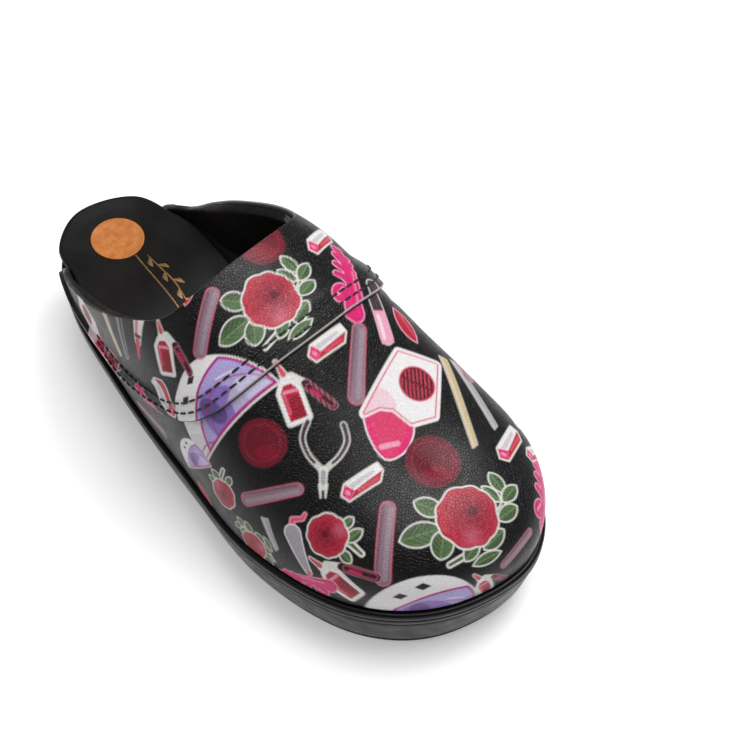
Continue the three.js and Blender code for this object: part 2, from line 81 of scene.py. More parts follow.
# ------------------------------------------------------------------ the clog's shape, in millimetres
CENTRING = np.array([0.0, 2.53, 0.0])  # the shift that puts the CAD's origin under the middle of its box

RIM = np.array([
    [-131, -2], [-122, 22], [-95, 34.5], [-45, 31], [10, 37], [60, 50], [100, 49], [122, 34],
    [131, 13], [121, -22], [95, -46], [50, -57], [0, -52], [-50, -45], [-93, -35], [-121, -20],
], float)
END_X = 100
HEEL, TOE = -160, 160
SPINE_Y = [[-96, 0], [-40, -5], [0, -3], [40, 2], [86, 4]]
SEAT = [[-131, 42], [-95, 41.5], [-55, 38], [-15, 33], [30, 32], [90, 33], [131, 35]]
RIDGE = [[-96, 118], [-40, 117], [-8, 114], [25, 97], [50, 82], [86, 65]]
ROUNDNESS = 0.88
BULGE_LATERAL = [[-90, 2], [-20, 3], [50, -2], [110, 2], [160, 2]]
BULGE_MEDIAL = [[-90, 3], [-10, 19], [50, 11], [110, 5], [160, 2]]
TOPLINE = [
    [0, -119], [4, -108], [9, -94], [15, -80], [22, -62], [37, -35], [52, -14], [70, -7], [90, -6],
    [112, -10], [126, -18], [138, -37], [150, -57], [160, -72], [171, -89], [176, -104], [180, -119],
]
SEAM = [
    [0, -119], [3, -98], [6, -66], [10, -38], [16, -16], [24, 4], [36, 17], [55, 25], [80, 29],
    [100, 29], [128, 24], [146, 13], [158, -6], [166, -28], [171, -50], [177, -98], [180, -119],
]
GAP = 0.35
LEATHER = 1.8
LINING = 1.0
FOAM = 2.2
FEATHER_INSET = 2
FEATHER_BEND = 2


def through(points):
    """Smooth curve through [x, y] pairs, flat past both ends, as a function on arrays."""
    p = np.array(points, float)
    last = len(p) - 1
    low, high = np.maximum(np.arange(last + 1) - 1, 0), np.minimum(np.arange(last + 1) + 1, last)
    slope = (p[high, 1] - p[low, 1]) / (p[high, 0] - p[low, 0])

    def curve(x):
        x = np.clip(np.asarray(x, float), p[0, 0], p[-1, 0])
        i = np.clip(np.searchsorted(p[:, 0], x, side="left") - 1, 0, last - 1)
        run = p[i + 1, 0] - p[i, 0]
        t = (x - p[i, 0]) / run
        h = t * t * (3 - 2 * t)
        start = slope[i] * run * t * (1 - t) ** 2
        end = slope[i + 1] * run * t * t * (t - 1)
        return p[i, 1] + (p[i + 1, 1] - p[i, 1]) * h + start + end

    return curve


def step(x, low, high):
    t = np.clip((np.asarray(x, float) - low) / (high - low), 0, 1)
    return t * t * (3 - 2 * t)


def lerp(a, b, t):
    return a + (b - a) * t


def unit(v):
    return v / np.maximum(np.linalg.norm(v, axis=-1, keepdims=True), 1e-12)


def rim_curve(t):
    """Closed centripetal curve through RIM, for t from 0 to 1."""
    n = len(RIM)
    p = np.asarray(t, float) * n
    i = np.floor(p).astype(int)
    w = (p - i)[:, None]
    a, b, c, d = (RIM[(i + k) % n] for k in (-1, 0, 1, 2))
    gap = [np.sqrt(np.linalg.norm(q - p_, axis=1))[:, None] for p_, q in ((a, b), (b, c), (c, d))]
    t0 = ((b - a) / gap[0] - (c - a) / (gap[0] + gap[1]) + (c - b) / gap[1]) * gap[1]
    t1 = ((c - b) / gap[1] - (d - b) / (gap[1] + gap[2]) + (d - c) / gap[2]) * gap[1]
    return b + t0 * w + (-3 * b + 3 * c - 2 * t0 - t1) * w ** 2 + (2 * b - 2 * c + t0 + t1) * w ** 3


def half_rim(start, stop, side):
    points = rim_curve(np.linspace(start, stop, 1201))
    lengths = np.r_[0, np.cumsum(np.linalg.norm(np.diff(points, axis=0), axis=1))]
    along = unit(np.gradient(points, axis=0))
    inward = np.stack([along[:, 1], -along[:, 0]], 1) * (1 if side == "medial" else -1)
    inward[0] = (1, 0)
    inward[-1] = (-1, 0)
    at = lambda x: lengths[np.argmax(points[:, 0] >= x)]
    return {"points": points, "lengths": lengths, "inward": inward, "heel": at(-END_X), "toe": at(END_X)}


MEDIAL = half_rim(0, 0.5, "medial")
LATERAL = half_rim(1, 0.5, "lateral")


def rim_point(side, station, inset=0):
    """Point of the rim, in plan, moved inwards by inset."""
    station = np.asarray(station, float)
    lengths = side["lengths"]
    between = np.interp(station, side["points"][:, 0], lengths)
    heel = side["heel"] * (station - HEEL) / (TOE - END_X)
    toe = side["toe"] + (lengths[-1] - side["toe"]) * (station - END_X) / (TOE - END_X)
    length = np.where(station <= -END_X, heel, np.where(station >= END_X, toe, between))
    place = [np.interp(length, lengths, side["points"][:, k]) for k in (0, 1)]
    inward = unit(np.stack([np.interp(length, lengths, side["inward"][:, k]) for k in (0, 1)], -1))
    return np.stack(place, -1) + inward * np.asarray(inset, float)[..., None]


spine_y = through(SPINE_Y)
seat_height = through(SEAT)
ridge_height = through(RIDGE)
bulge_lateral = through(BULGE_LATERAL)
bulge_medial = through(BULGE_MEDIAL)
topline = through(TOPLINE)
seam = through(SEAM)


def slow_down(x, start, stop):
    past = (x - start) / (stop - start)
    return np.where(past <= 0, x, start + (stop - start) * np.tanh(np.maximum(past, 0)))


def spine_point(station):
    slowed = -slow_down(-slow_down(np.asarray(station, float), 50, 86), 70, 96)
    return np.stack([slowed, spine_y(slowed)], -1)


def feather_edge(station, lateral):
    """Where the upper meets the sole, in plan: on the outer side where lateral is true."""
    outer, inner = (rim_point(side, station, FEATHER_INSET) for side in (LATERAL, MEDIAL))
    return np.where(lateral[..., None], outer, inner)


def upper_point(station, angle, depth=0):
    """Point of the upper, in millimetres in the CAD's frame."""
    station, angle, depth = np.broadcast_arrays(*(np.asarray(v, float) for v in (station, angle, depth)))
    lateral = angle <= 90
    turn = np.radians(np.where(lateral, angle, 180 - angle))
    edge = feather_edge(station, lateral)
    bulge = np.where(lateral, bulge_lateral(station), bulge_medial(station))
    spine = spine_point(station)
    outward = edge - spine
    reach = np.linalg.norm(outward, axis=-1)
    foot = seat_height(edge[..., 0]) + FEATHER_BEND
    rise = ridge_height(spine[..., 0]) - foot - depth
    wide = np.maximum(np.cos(turn), 0) ** ROUNDNESS
    out = (reach - depth) * wide + bulge * np.sin(2 * turn)
    plan = spine + outward / reach[..., None] * out[..., None]
    z = foot + rise * np.sin(turn) ** ROUNDNESS
    return np.concatenate([plan, z[..., None]], -1) + CENTRING


def leather_table():
    """The upper laid flat: each station and angle gets a place, at its true distance from the ridge."""
    stations = np.linspace(-125, TOE, 286)
    angles = np.linspace(0, 180, 181)
    s, a = np.meshgrid(stations, angles, indexing="ij")
    points = upper_point(s, a)
    steps = np.linalg.norm(np.diff(points, axis=1), axis=-1)
    length = np.concatenate([np.zeros((len(stations), 1)), np.cumsum(steps, axis=1)], 1)
    length = np.abs(length - length[:, 90:91])
    ridge = points[:, 90]
    run = np.r_[0, np.cumsum(np.linalg.norm(np.diff(ridge, axis=0), axis=1))]
    run -= np.interp(0, stations, run)
    spine = spine_point(s)
    flat = unit(feather_edge(s, a <= 90) - spine) * length[..., None]
    flat[..., 0] += run[:, None]
    flat[..., 1] += spine[..., 1]
    return stations, angles, points, flat


STATION_GRID, ANGLE_GRID, POINT_GRID, FLAT_GRID = leather_table()


def stretch_at(place):
    """How lengths in the flat leather stretch on the upper round one place, as a 2 x 2 matrix."""
    away = np.hypot(*(FLAT_GRID - np.array(place)).transpose(2, 0, 1))
    i, j = np.unravel_index(np.argmin(away), away.shape)
    i = min(max(i, 2), len(STATION_GRID) - 3)
    j = min(max(j, 2), len(ANGLE_GRID) - 3)
    flat, real = (np.stack([g[i + 2, j] - g[i - 2, j], g[i, j + 2] - g[i, j - 2]], 1)
                  for g in (FLAT_GRID, POINT_GRID))
    if abs(np.linalg.det(flat)) < 0.02:
        return np.eye(2)
    slope = real @ np.linalg.inv(flat)
    size, axes = np.linalg.eigh(slope.T @ slope)
    return axes @ np.diag(np.sqrt(np.clip(size, 0.3, 3))) @ axes.T


def flat_point(station, angle):
    """Place of a point of the upper in the flat leather, in millimetres."""
    i = np.clip((np.asarray(station, float) - STATION_GRID[0]), 0, len(STATION_GRID) - 1.001)
    j = np.clip(np.asarray(angle, float), 0, 179.999)
    i0, j0 = i.astype(int), j.astype(int)
    u, v = (i - i0)[..., None], (j - j0)[..., None]
    g = FLAT_GRID
    low = lerp(g[i0, j0], g[i0 + 1, j0], u)
    high = lerp(g[i0, j0 + 1], g[i0 + 1, j0 + 1], u)
    return lerp(low, high, v)


# ------------------------------------------------------------------ materials


class Nodes:
    """A material's node tree around one Principled shader."""

    def __init__(self, name, color=(0.5, 0.5, 0.5), roughness=0.5, **sockets):
        self.material = bpy.data.materials.new(name)
        self.material.use_nodes = True
        self.tree = self.material.node_tree
        self.shader = self.tree.nodes["Principled BSDF"]
        self.shader.inputs["Base Color"].default_value = (*color, 1)
        self.shader.inputs["Roughness"].default_value = roughness
        for key, value in sockets.items():
            self.shader.inputs[key.replace("_", " ")].default_value = value
        self.coordinates = self.add("ShaderNodeTexCoord").outputs["Object"]
        self.normal = None

    def add(self, kind, **settings):
        node = self.tree.nodes.new(kind)
        for key, value in settings.items():
            setattr(node, key, value)
        return node

    def link(self, source, target):
        self.tree.links.new(source, target)

    def stretched(self, scale):
        node = self.add("ShaderNodeMapping")
        node.inputs["Scale"].default_value = scale
        self.link(self.coordinates, node.inputs["Vector"])
        return node.outputs["Vector"]

    def noise(self, size_mm, detail=3.0, rough=0.5, stretch=None):
        node = self.add("ShaderNodeTexNoise")
        node.inputs["Scale"].default_value = 1000 / size_mm
        node.inputs["Detail"].default_value = detail
        node.inputs["Roughness"].default_value = rough
        self.link(self.stretched(stretch) if stretch else self.coordinates, node.inputs["Vector"])
        return node.outputs["Fac"]

    def cells(self, size_mm, feature="DISTANCE_TO_EDGE"):
        node = self.add("ShaderNodeTexVoronoi", feature=feature)
        node.inputs["Scale"].default_value = 1000 / size_mm
        self.link(self.coordinates, node.inputs["Vector"])
        return node.outputs["Distance"]

    def ramp(self, value, low, high, from_low=0.0, from_high=1.0):
        node = self.add("ShaderNodeMapRange")
        numbers = {"From Min": from_low, "From Max": from_high, "To Min": low, "To Max": high}
        for key, number in numbers.items():
            node.inputs[key].default_value = number
        self.link(value, node.inputs["Value"])
        return node.outputs["Result"]

    def mix(self, factor, first, second, blend="MIX"):
        node = self.add("ShaderNodeMix", data_type="RGBA", blend_type=blend)
        for socket, value in ((node.inputs[0], factor), (node.inputs[6], first), (node.inputs[7], second)):
            if isinstance(value, bpy.types.NodeSocket):
                self.link(value, socket)
            elif isinstance(value, (int, float)):
                socket.default_value = value
            else:
                socket.default_value = (*value, 1)
        return node.outputs[2]

    def bump(self, height, depth_mm, strength=1.0):
        node = self.add("ShaderNodeBump")
        node.inputs["Strength"].default_value = strength
        node.inputs["Distance"].default_value = depth_mm * MM
        self.link(height, node.inputs["Height"])
        if self.normal is not None:
            self.link(self.normal, node.inputs["Normal"])
        self.normal = node.outputs["Normal"]
        self.link(self.normal, self.shader.inputs["Normal"])
        return self

    def color(self, source):
        self.link(source, self.shader.inputs["Base Color"])
        return self

    def two_tone(self, noise, span, first, second):
        """Colour that goes from first to second over the given span of a noise."""
        return self.color(self.mix(self.ramp(self.noise(*noise), 0, 1, *span), first, second))

    def roughness(self, source):
        self.link(source, self.shader.inputs["Roughness"])
        return self


def srgb(code):
    """Linear colour of a six-digit sRGB code."""
    values = [int(code[i:i + 2], 16) / 255 for i in (0, 2, 4)]
    return tuple(v / 12.92 if v <= 0.04045 else ((v + 0.055) / 1.055) ** 2.4 for v in values)


def shade(color, share):
    return tuple(c * share for c in color)


def leather(name, color, roughness=0.4, grain_mm=1.1, depth_mm=0.09, **sockets):
    """Pebbled leather: raised cells between fine creases, and broad uneven gloss."""
    n = Nodes(name, color, roughness, Specular_IOR_Level=0.2, **sockets)
    crease = n.ramp(n.cells(grain_mm), 0, 1, 0, 0.16)
    n.bump(crease, depth_mm, 0.7)
    n.bump(n.noise(0.5, 2), depth_mm * 0.5, 0.5)
    n.bump(n.noise(14, 2), 0.25, 0.6)
    n.roughness(n.ramp(n.noise(5, 4), roughness - 0.07, roughness + 0.09, 0.3, 0.7))
    return n


def moulded(name, color, roughness, texture_mm=0.6, depth_mm=0.03, **sockets):
    """Moulded rubber or foam: a fine spark texture and faint mottling."""
    n = Nodes(name, color, roughness, Specular_IOR_Level=0.16, **sockets)
    n.bump(n.noise(texture_mm, 3, 0.6), depth_mm, 0.6)
    n.bump(n.noise(22, 2), 0.3, 0.3)
    n.two_tone((9, 5, 0.65), (0.35, 0.7), shade(color, 0.8), shade(color, 1.25))
    n.roughness(n.ramp(n.noise(6, 4), roughness - 0.08, roughness + 0.1, 0.3, 0.7))
    return n


DULL = 0.85  # roughness of cloth, cork, board and foam


def woven(name, color, thread_mm):
    """Cloth: two crossing sets of threads."""
    n = Nodes(name, color, DULL)
    heights = []
    for axis in ("X", "Y"):
        wave = n.add("ShaderNodeTexWave", bands_direction=axis)
        wave.inputs["Scale"].default_value = 1000 / thread_mm / 6.283
        wave.inputs["Distortion"].default_value = 0.6
        n.link(n.coordinates, wave.inputs["Vector"])
        heights.append(wave.outputs["Fac"])
    both = n.add("ShaderNodeMath", operation="MULTIPLY")
    n.link(heights[0], both.inputs[0])
    n.link(heights[1], both.inputs[1])
    n.bump(both.outputs[0], 0.12, 0.7)
    n.two_tone((3, 4), (0.3, 0.7), shade(color, 0.75), shade(color, 1.3))
    return n


def granular(name, light, dark, grain_mm, depth_mm):
    """Cork, pressed fibre or foam: two-tone grains."""
    n = Nodes(name, light, DULL)
    grains = n.cells(grain_mm, "F1")
    n.two_tone((grain_mm, 3), (0.42, 0.6), light, dark)
    n.bump(n.ramp(grains, 1, 0, 0, 0.7), depth_mm, 0.8)
    return n


# ------------------------------------------------------------------ the leather's print
# Each motif is drawn in millimetres round its own middle, with +y as its upright direction.

INK = {name: np.array(srgb(code)) for name, code in {
    "ground": "0b0a0d", "cream": "e4e3dc", "white": "efecee", "grey": "a9a3ab", "red": "b81a35",
    "deep": "5c0f22", "rose": "de5468", "pink": "e0216f", "blush": "f0a2bf", "magenta": "b02c80",
    "lavender": "b4a6de", "violet": "7d5ab8", "plum": "4b2c68", "leaf": "3d5c31", "moss": "243c1f",
    "mint": "93b07e", "mauve": "86707f", "tan": "cfb88a", "wine": "6b1426", "ink": "201a20",
    "dusk": "44333f", "coral": "d8495c",
}.items()}


def rounded(points, count=None):
    """Points along a smooth curve through an open chain of points: count of them, or four to a step."""
    p = np.array(points, float)
    t = np.linspace(0, len(p) - 1, count or (len(p) - 1) * 4 + 1)
    i = np.clip(t.astype(int), 0, len(p) - 2)
    w = (t - i)[:, None]
    before, a, b, after = p[np.maximum(i - 1, 0)], p[i], p[i + 1], p[np.minimum(i + 2, len(p) - 1)]
    return 0.5 * (2 * a + (b - before) * w + (2 * before - 5 * a + 4 * b - after) * w ** 2
                  + (3 * a - before - 3 * b + after) * w ** 3)


MOTIF_REACH = 37.8  # half the side of the square that a motif is painted in, at scale 1
SOFT_EDGE = 0.45


class Brush:
    """Paints soft-edged shapes on the points near one motif."""

    def __init__(self, flat, color, middle, turn, scale):
        away = flat - np.array(middle)
        self.near = np.flatnonzero((np.abs(away) < MOTIF_REACH * scale).all(1))
        away = away[self.near] @ stretch_at(middle) / scale
        c, s = math.cos(math.radians(turn - 90)), math.sin(math.radians(turn - 90))
        self.x = away[:, 0] * c + away[:, 1] * s
        self.y = -away[:, 0] * s + away[:, 1] * c
        self.color = color
        self.paint = color[self.near]
        self.soft = SOFT_EDGE / scale

    def done(self):
        self.color[self.near] = self.paint

    def fill(self, distance, ink, alpha=1.0):
        ink = INK[ink] if isinstance(ink, str) else ink
        share = np.clip(0.5 - distance / self.soft, 0, 1) * alpha
        self.paint = lerp(self.paint, ink, share[:, None])

    def line(self, distance, width, ink, alpha=1.0):
        self.fill(np.abs(distance) - width / 2, ink, alpha)

    def outlined(self, distance, ink, edge="cream", width=0.6):
        self.fill(distance - width, edge)
        self.fill(distance, ink)

    def circle(self, x, y, r):
        return np.hypot(self.x - x, self.y - y) - r

    def oval(self, x, y, rx, ry):
        return (np.hypot((self.x - x) / rx, (self.y - y) / ry) - 1) * min(rx, ry)

    def bar(self, a, b, r, r_end=None):
        dx, dy = b[0] - a[0], b[1] - a[1]
        t = np.clip(((self.x - a[0]) * dx + (self.y - a[1]) * dy) / (dx * dx + dy * dy), 0, 1)
        width = r if r_end is None else lerp(r, r_end, t)
        return np.hypot(self.x - a[0] - dx * t, self.y - a[1] - dy * t) - width

    def path(self, points, r, r_end=None):
        count = len(points) - 1
        ends = np.linspace(r, r if r_end is None else r_end, count + 1)
        bars = [self.bar(points[i], points[i + 1], ends[i], ends[i + 1]) for i in range(count)]
        return np.min(bars, axis=0)

    def polygon(self, points, rounding=0.0):
        p = np.array(points, float)
        best = np.full(len(self.x), 1e9)
        inside = np.zeros(len(self.x), bool)
        for (ax, ay), (bx, by) in zip(p, np.roll(p, -1, axis=0)):
            dx, dy = bx - ax, by - ay
            t = np.clip(((self.x - ax) * dx + (self.y - ay) * dy) / (dx * dx + dy * dy), 0, 1)
            best = np.minimum(best, np.hypot(self.x - ax - dx * t, self.y - ay - dy * t))
            if ay != by:
                crosses = (ay > self.y) != (by > self.y)
                inside ^= crosses & (self.x < dx * (self.y - ay) / dy + ax)
        return np.where(inside, -best, best) - rounding

    def stem(self, points, edge_widths, widths, edge="cream", ink="leaf"):
        """A thin line inside a paler one, each given by its half width at one or both ends."""
        self.fill(self.path(points, *edge_widths), edge)
        self.fill(self.path(points, *widths), ink)

    def leaf_shape(self, base, tip, width):
        (ax, ay), (bx, by) = base, tip
        length = math.hypot(bx - ax, by - ay)
        ux, uy = (bx - ax) / length, (by - ay) / length
        along = (self.x - (ax + bx) / 2) * ux + (self.y - (ay + by) / 2) * uy
        across = (self.x - (ax + bx) / 2) * uy - (self.y - (ay + by) / 2) * ux
        half = length / 2
        radius = (half ** 2 + (width / 2) ** 2) / width
        side = np.hypot(along, np.abs(across) + radius - width / 2) - radius
        return side, across, along / half

    def leaf(self, base, tip, width):
        side, across, along = self.leaf_shape(base, tip, width)
        self.fill(side - 0.6, "cream")
        self.fill(side, lerp(INK["leaf"], INK["moss"], np.clip(0.5 + across / width * 1.6, 0, 1)[:, None]))
        veins = np.abs(np.sin(along * 9 + np.abs(across) * 1.6))
        self.fill(np.maximum(side + 0.2, 0.35 - veins), "mint", 0.2)
        self.fill(np.maximum(side, np.abs(across) - 0.16), "mint", 0.55)


def wavy(brush, x, y, r, lobes, depth, phase=0.0):
    turn = np.arctan2(brush.y - y, brush.x - x)
    return np.hypot(brush.x - x, brush.y - y) - r * (1 + depth * np.sin(lobes * turn + phase))


# rings of a rose: way out, number of petals, radius of a petal
ROSE_RINGS = ((0.66, 8, 0.40), (0.46, 7, 0.33), (0.28, 5, 0.25), (0.12, 3, 0.17))


def petals(b, x, y, r, eye=(0.0, 0.0)):
    """A full rose: rings of overlapping petals that darken towards the eye."""
    edge = np.minimum(wavy(b, x, y, r, 8, 0.035, 0.6), wavy(b, x, y, r * 0.98, 5, 0.05, 2.0))
    b.outlined(edge, "red", "cream", 0.7)
    for level, (out, count, size) in enumerate(ROSE_RINGS):
        for k in range(count):
            turn = 2 * math.pi * (k + 0.4 * level) / count
            px = x + eye[0] * (1 - out) + r * out * math.cos(turn)
            py = y + eye[1] * (1 - out) + r * out * math.sin(turn)
            petal_edge = np.maximum(b.circle(px, py, r * size), edge + 0.3)
            b.fill(petal_edge - 0.3, "deep", 0.55)
            depth = np.clip(0.5 + petal_edge / (r * size) * 0.9, 0, 1)
            tone = lerp(INK["deep"], INK["red"], 0.9 - 0.2 * level)
            tone = lerp(tone, INK["rose"], (depth * 0.55)[:, None])
            b.fill(petal_edge, tone)
    b.fill(b.circle(x + eye[0], y + eye[1], r * 0.16), "deep", 0.85)
    glow = np.clip(0.5 - np.hypot(b.x - x - r * 0.35, b.y - y + r * 0.6) / r, 0, 1)
    b.paint = lerp(b.paint, INK["blush"], (glow * (edge < 0))[:, None] * 0.5)


def rose(b):
    b.stem([(8, -6), (4, -13), (-1, -18.5)], (1.5, 1.3), (0.7, 0.5))
    b.stem([(9, 2), (11, 9), (9.6, 15)], (1.2,), (0.5,))
    for base, tip, width in (
        ((-9, -1.6), (-19.5, -1.2), 6.4), ((-8, -7.5), (-20.5, -16), 8.0), ((-6.5, -8), (-5, -17.5), 7.6),
        ((10, 14), (3, 19), 4.6), ((10.6, 10.5), (13.6, 18.6), 4.6), ((9.4, 10), (2, 12.6), 3.6),
        ((11.2, 3.4), (16, 11), 5.2), ((9.6, -8.5), (14, 0.5), 5.6), ((6, -7), (4.2, -15), 4.8),
        ((8, -15.4), (16, -7), 3.8),
    ):
        b.leaf(base, tip, width)
    petals(b, 0, 0, 11, (1.0, 2.6))


def rosebud(b):
    b.stem([(0, -2), (-2, -6), (-5, -10)], (1.8, 1.4), (0.9, 0.5))
    for base, tip, width in (((-1, -4), (4, -9), 3.8), ((-5, -2), (-9, -6), 3.6), ((4, -2), (8, -5), 3.2)):
        b.leaf(base, tip, width)
    petals(b, 0, 4, 8, (0.5, 0.8))


def lamp(b):
    """A domed curing lamp: white shell, two vents, a tinted window with a dark opening."""
    dome = rounded([
        (-25, 0), (-24, 8), (-19.5, 16.5), (-11, 23.5), (0, 27), (11, 25.5), (19, 18.5), (24, 8), (25, 0),
    ])
    shell = b.polygon(dome, 0.4)
    b.outlined(shell, "white", "cream", 0.5)
    b.fill(np.maximum(shell + 0.6, b.circle(-27, -2, 15)), "grey", 0.3)
    glass = rounded([(-18, 0), (-12, 9), (0, 17), (12, 20.5), (20, 19.5), (24, 8), (25, 0)])
    window = np.maximum(b.polygon(glass), shell + 0.9)
    b.fill(window, "lavender")
    b.fill(np.maximum(window + 0.6, b.circle(2, 4, 11)), "violet", 0.75)
    b.fill(np.maximum(window + 1, b.oval(-1, 8, 4.2, 6)), "plum", 0.65)
    b.fill(np.maximum(window + 0.6, b.polygon([(4, 0), (25, 0), (25, 6), (15, 10), (7, 6)])), "white", 0.4)
    b.line(np.maximum(b.circle(8, -4, 17), window + 0.5), 0.7, "magenta", 0.7)
    b.line(window, 1.2, "magenta")
    b.line(np.maximum(b.circle(-20, -9, 12.5), shell + 0.8), 0.9, "magenta", 0.8)
    for x, y in ((1, 23.4), (-7, 19.6)):
        b.fill(b.polygon([(x - 2.4, y), (x, y + 1.5), (x + 2.4, y), (x, y - 1.5)], 0.2), "ink")
    b.fill(b.bar((10, 15), (17, 13), 0.4), "white", 0.8)


def bottle(b):
    b.fill(b.bar((2.4, 5.4), (6.8, 0.9), 1.7), "cream")
    b.fill(b.bar((6.6, 1.2), (13.2, -9), 2.0), "blush", 0.5)
    b.fill(b.bar((6.6, 1.2), (13.2, -9), 1.7), "ink")
    b.line(b.bar((7.4, 0), (13, -8.6), 1.1), 0.35, "rose", 0.9)
    b.fill(b.bar((8, -1.6), (10, -4.6), 0.7), "pink", 0.7)
    body = b.polygon([(-3.5, -10.4), (3.5, -10.4), (3.5, 0.6), (1.4, 3.6), (-1.4, 3.6), (-3.5, 0.6)], 0.9)
    b.outlined(body, "white", "cream", 0.7)
    b.fill(body + 1.1, "red")
    b.fill(np.maximum(body + 1.1, b.oval(1, -6, 3.4, 4.4)), "wine", 0.55)
    b.fill(np.maximum(body + 1.5, b.bar((-2.6, -7), (-2.6, 0), 0.9)), "rose")
    b.fill(np.maximum(body + 1.2, b.bar((-2, 0.6), (2.6, 0.2), 0.6)), "blush", 0.8)
    b.fill(b.polygon([(-1.7, 3.4), (1.7, 3.4), (1.3, 6.6), (-1.3, 6.6)], 0.3), "white")
    b.fill(b.bar((0, 7), (-0.9, 11.4), 1.6, 0.9), "cream", 0.8)
    b.fill(b.bar((0, 7), (-0.9, 11.2), 1.0, 0.4), "coral")


def buffer_block(b):
    whole = b.polygon([(-4.2, -5.2), (-2.4, -9), (1.2, -8.6), (5.4, 5), (3.2, 9), (0, 9.6)], 0.3)
    b.fill(whole - 0.45, "cream")
    b.fill(b.polygon([(-4.2, -5.2), (0.3, -4.3), (3.2, 9), (0, 9.6)]), "white")
    b.fill(b.polygon([(-3, -4.6), (-0.6, -4.2), (1.6, 6), (0.4, 7)]), "grey", 0.55)
    b.fill(b.polygon([(0.3, -4.3), (1.2, -8.6), (5.4, 5), (3.2, 9)]), "red")
    b.fill(np.maximum(whole + 1, b.bar((1.6, -3), (4, 5), 0.7)), "rose", 0.7)
    b.fill(b.polygon([(-4.2, -5.2), (0.3, -4.3), (1.2, -8.6), (-2.4, -9)]), "pink")
    b.fill(b.oval(-1.2, -6.8, 1.3, 0.9), "blush", 0.7)


def nail_file(b):
    half, width = 12.6, 3.4
    shape = b.bar((0.6, -half), (-0.6, half), width, width * 0.9)
    b.fill(shape, "rose", 0.6)
    b.fill(shape + 0.3, "blush", 0.45)
    b.fill(shape + 0.55, "mauve", 0.9)
    b.fill(np.maximum(shape + 0.9, b.bar((1.4, -half), (0.6, half), 1.0)), "grey", 0.45)
    b.fill(np.maximum(shape + 0.6, b.bar((-2.2, -half), (-2.4, half), 0.8)), "dusk", 0.45)


def flame(b):
    shape = b.bar((3, -14), (-1, 15), 3.6, 1.2)
    for y in (-2.0, 3.5, 8.5, 12.5):
        shape = np.minimum(shape, b.bar((2.0 - y / 12, y - 2), (-4.4 + y / 12, y + 2.4), 1.9, 1.3))
    shape = np.minimum(shape, b.circle(-3.4, -8.6, 3.7))
    shape = np.minimum(shape, b.circle(1.4, -13.4, 3.4))
    b.fill(shape - 0.5, "blush")
    b.fill(shape, "pink")
    b.line(shape + 1.0, 0.45, "magenta", 0.75)
    b.fill(b.bar((-4.8, -9.4), (-2.6, -6.6), 0.6), "blush", 0.8)
    b.fill(b.bar((3.4, -11), (2.2, 2), 0.5), "blush", 0.5)


def device(b):
    """A small case with a round grill and a pink flap that opens below it."""
    seam_line = [(-13, -11.9), (-8.5, -7.4), (-3, -5.8), (5.2, -8.4)]
    case = b.polygon([(-7.6, 17.2), (8.2, 20.8), (12.9, -2.6)] + seam_line[::-1], 1.6)
    lobe = rounded([seam_line[-1], (6.4, -13.6), (4.6, -20.6), (-0.9, -24.6), (-8.4, -19), seam_line[0]])
    flap = b.polygon(np.concatenate([np.array(seam_line[:-1]), lobe[:-1]]), 0.6)
    b.fill(np.minimum(case, flap) - 0.6, "white")
    b.fill(flap, "pink")
    b.fill(flap + 2.4, "coral", 0.4)
    b.fill(np.maximum(flap + 0.8, b.bar((-3.4, -21.6), (2.4, -18), 1.0)), "blush", 0.9)
    b.fill(case, "white")
    b.fill(np.maximum(case + 0.8, b.circle(-10, -9, 9)), "blush", 0.45)
    b.line(case + 1.1, 0.55, "rose")
    grill = b.circle(3, 7.7, 6.9)
    b.fill(grill - 0.6, "rose")
    b.fill(grill, "deep")
    slots = np.abs(((b.x + 0.35 * b.y) / 1.7) % 1 - 0.5) * 1.7 - 0.3
    b.fill(np.maximum(grill + 0.5, slots), "coral", 0.85)
    b.fill(np.maximum(grill, np.abs(b.y - 7.7) - 0.35), "deep")


def disc(b):
    shape = b.circle(0, 0, 10)
    b.fill(shape, "wine")
    b.fill(np.maximum(shape + 1, b.oval(2, -4, 5, 3)), "red", 0.22)
    b.line(b.circle(0, 0, 7.6), 0.3, "coral", 0.25)


def nippers(b):
    for side in (-1, 1):
        limb = rounded([(side * 6.4, 14), (side * 8, 8), (side * 5.6, 2), (side * 1.2, -2.6), (0, -5)])
        b.fill(b.path(limb, 1.3, 1.2), "cream", 0.8)
        b.fill(b.path(limb[:11], 0.8, 0.5), "dusk")
    b.fill(b.bar((0, -3.4), (0, -9), 1.7, 1.5), "cream", 0.85)
    b.fill(b.bar((0, -4), (0, -8), 0.9, 0.8), "grey")
    for side in (-1, 1):
        b.fill(b.bar((side * 1.2, -8.6), (side * 0.9, -13), 0.7, 0.4), "cream", 0.85)


def tube(b):
    b.stem([(0, 7), (0.8, 10.4), (5, 10.6), (6.2, 12.4)], (1.5, 0.9), (0.9, 0.5), "blush", "rose")
    body = b.bar((0, 5), (2.6, -12), 3.2, 1.1)
    b.outlined(body, "grey", "white", 0.6)
    b.fill(np.maximum(body + 0.6, b.bar((-1, 4), (1.6, -10), 0.8)), "white", 0.7)
    b.fill(np.maximum(body, b.bar((-4, 3.6), (4, 4.2), 1.2)), "pink")
    b.fill(np.maximum(body, -10.4 - b.y - 20 * (b.y > -8)), "grey")
    b.fill(b.circle(2.6, -12.4, 1.2), "rose")


def stick(length, ink):
    half = length / 2

    def draw(b):
        shape = b.polygon([(-0.8, -half), (1.2, -half + 1), (1.9, half - 1), (-1.2, half)], 0.2)
        b.fill(shape - 0.35, "cream", 0.7)
        b.fill(shape, ink)
        b.fill(np.maximum(shape + 0.4, b.x - 0.1), "white", 0.35)

    return draw


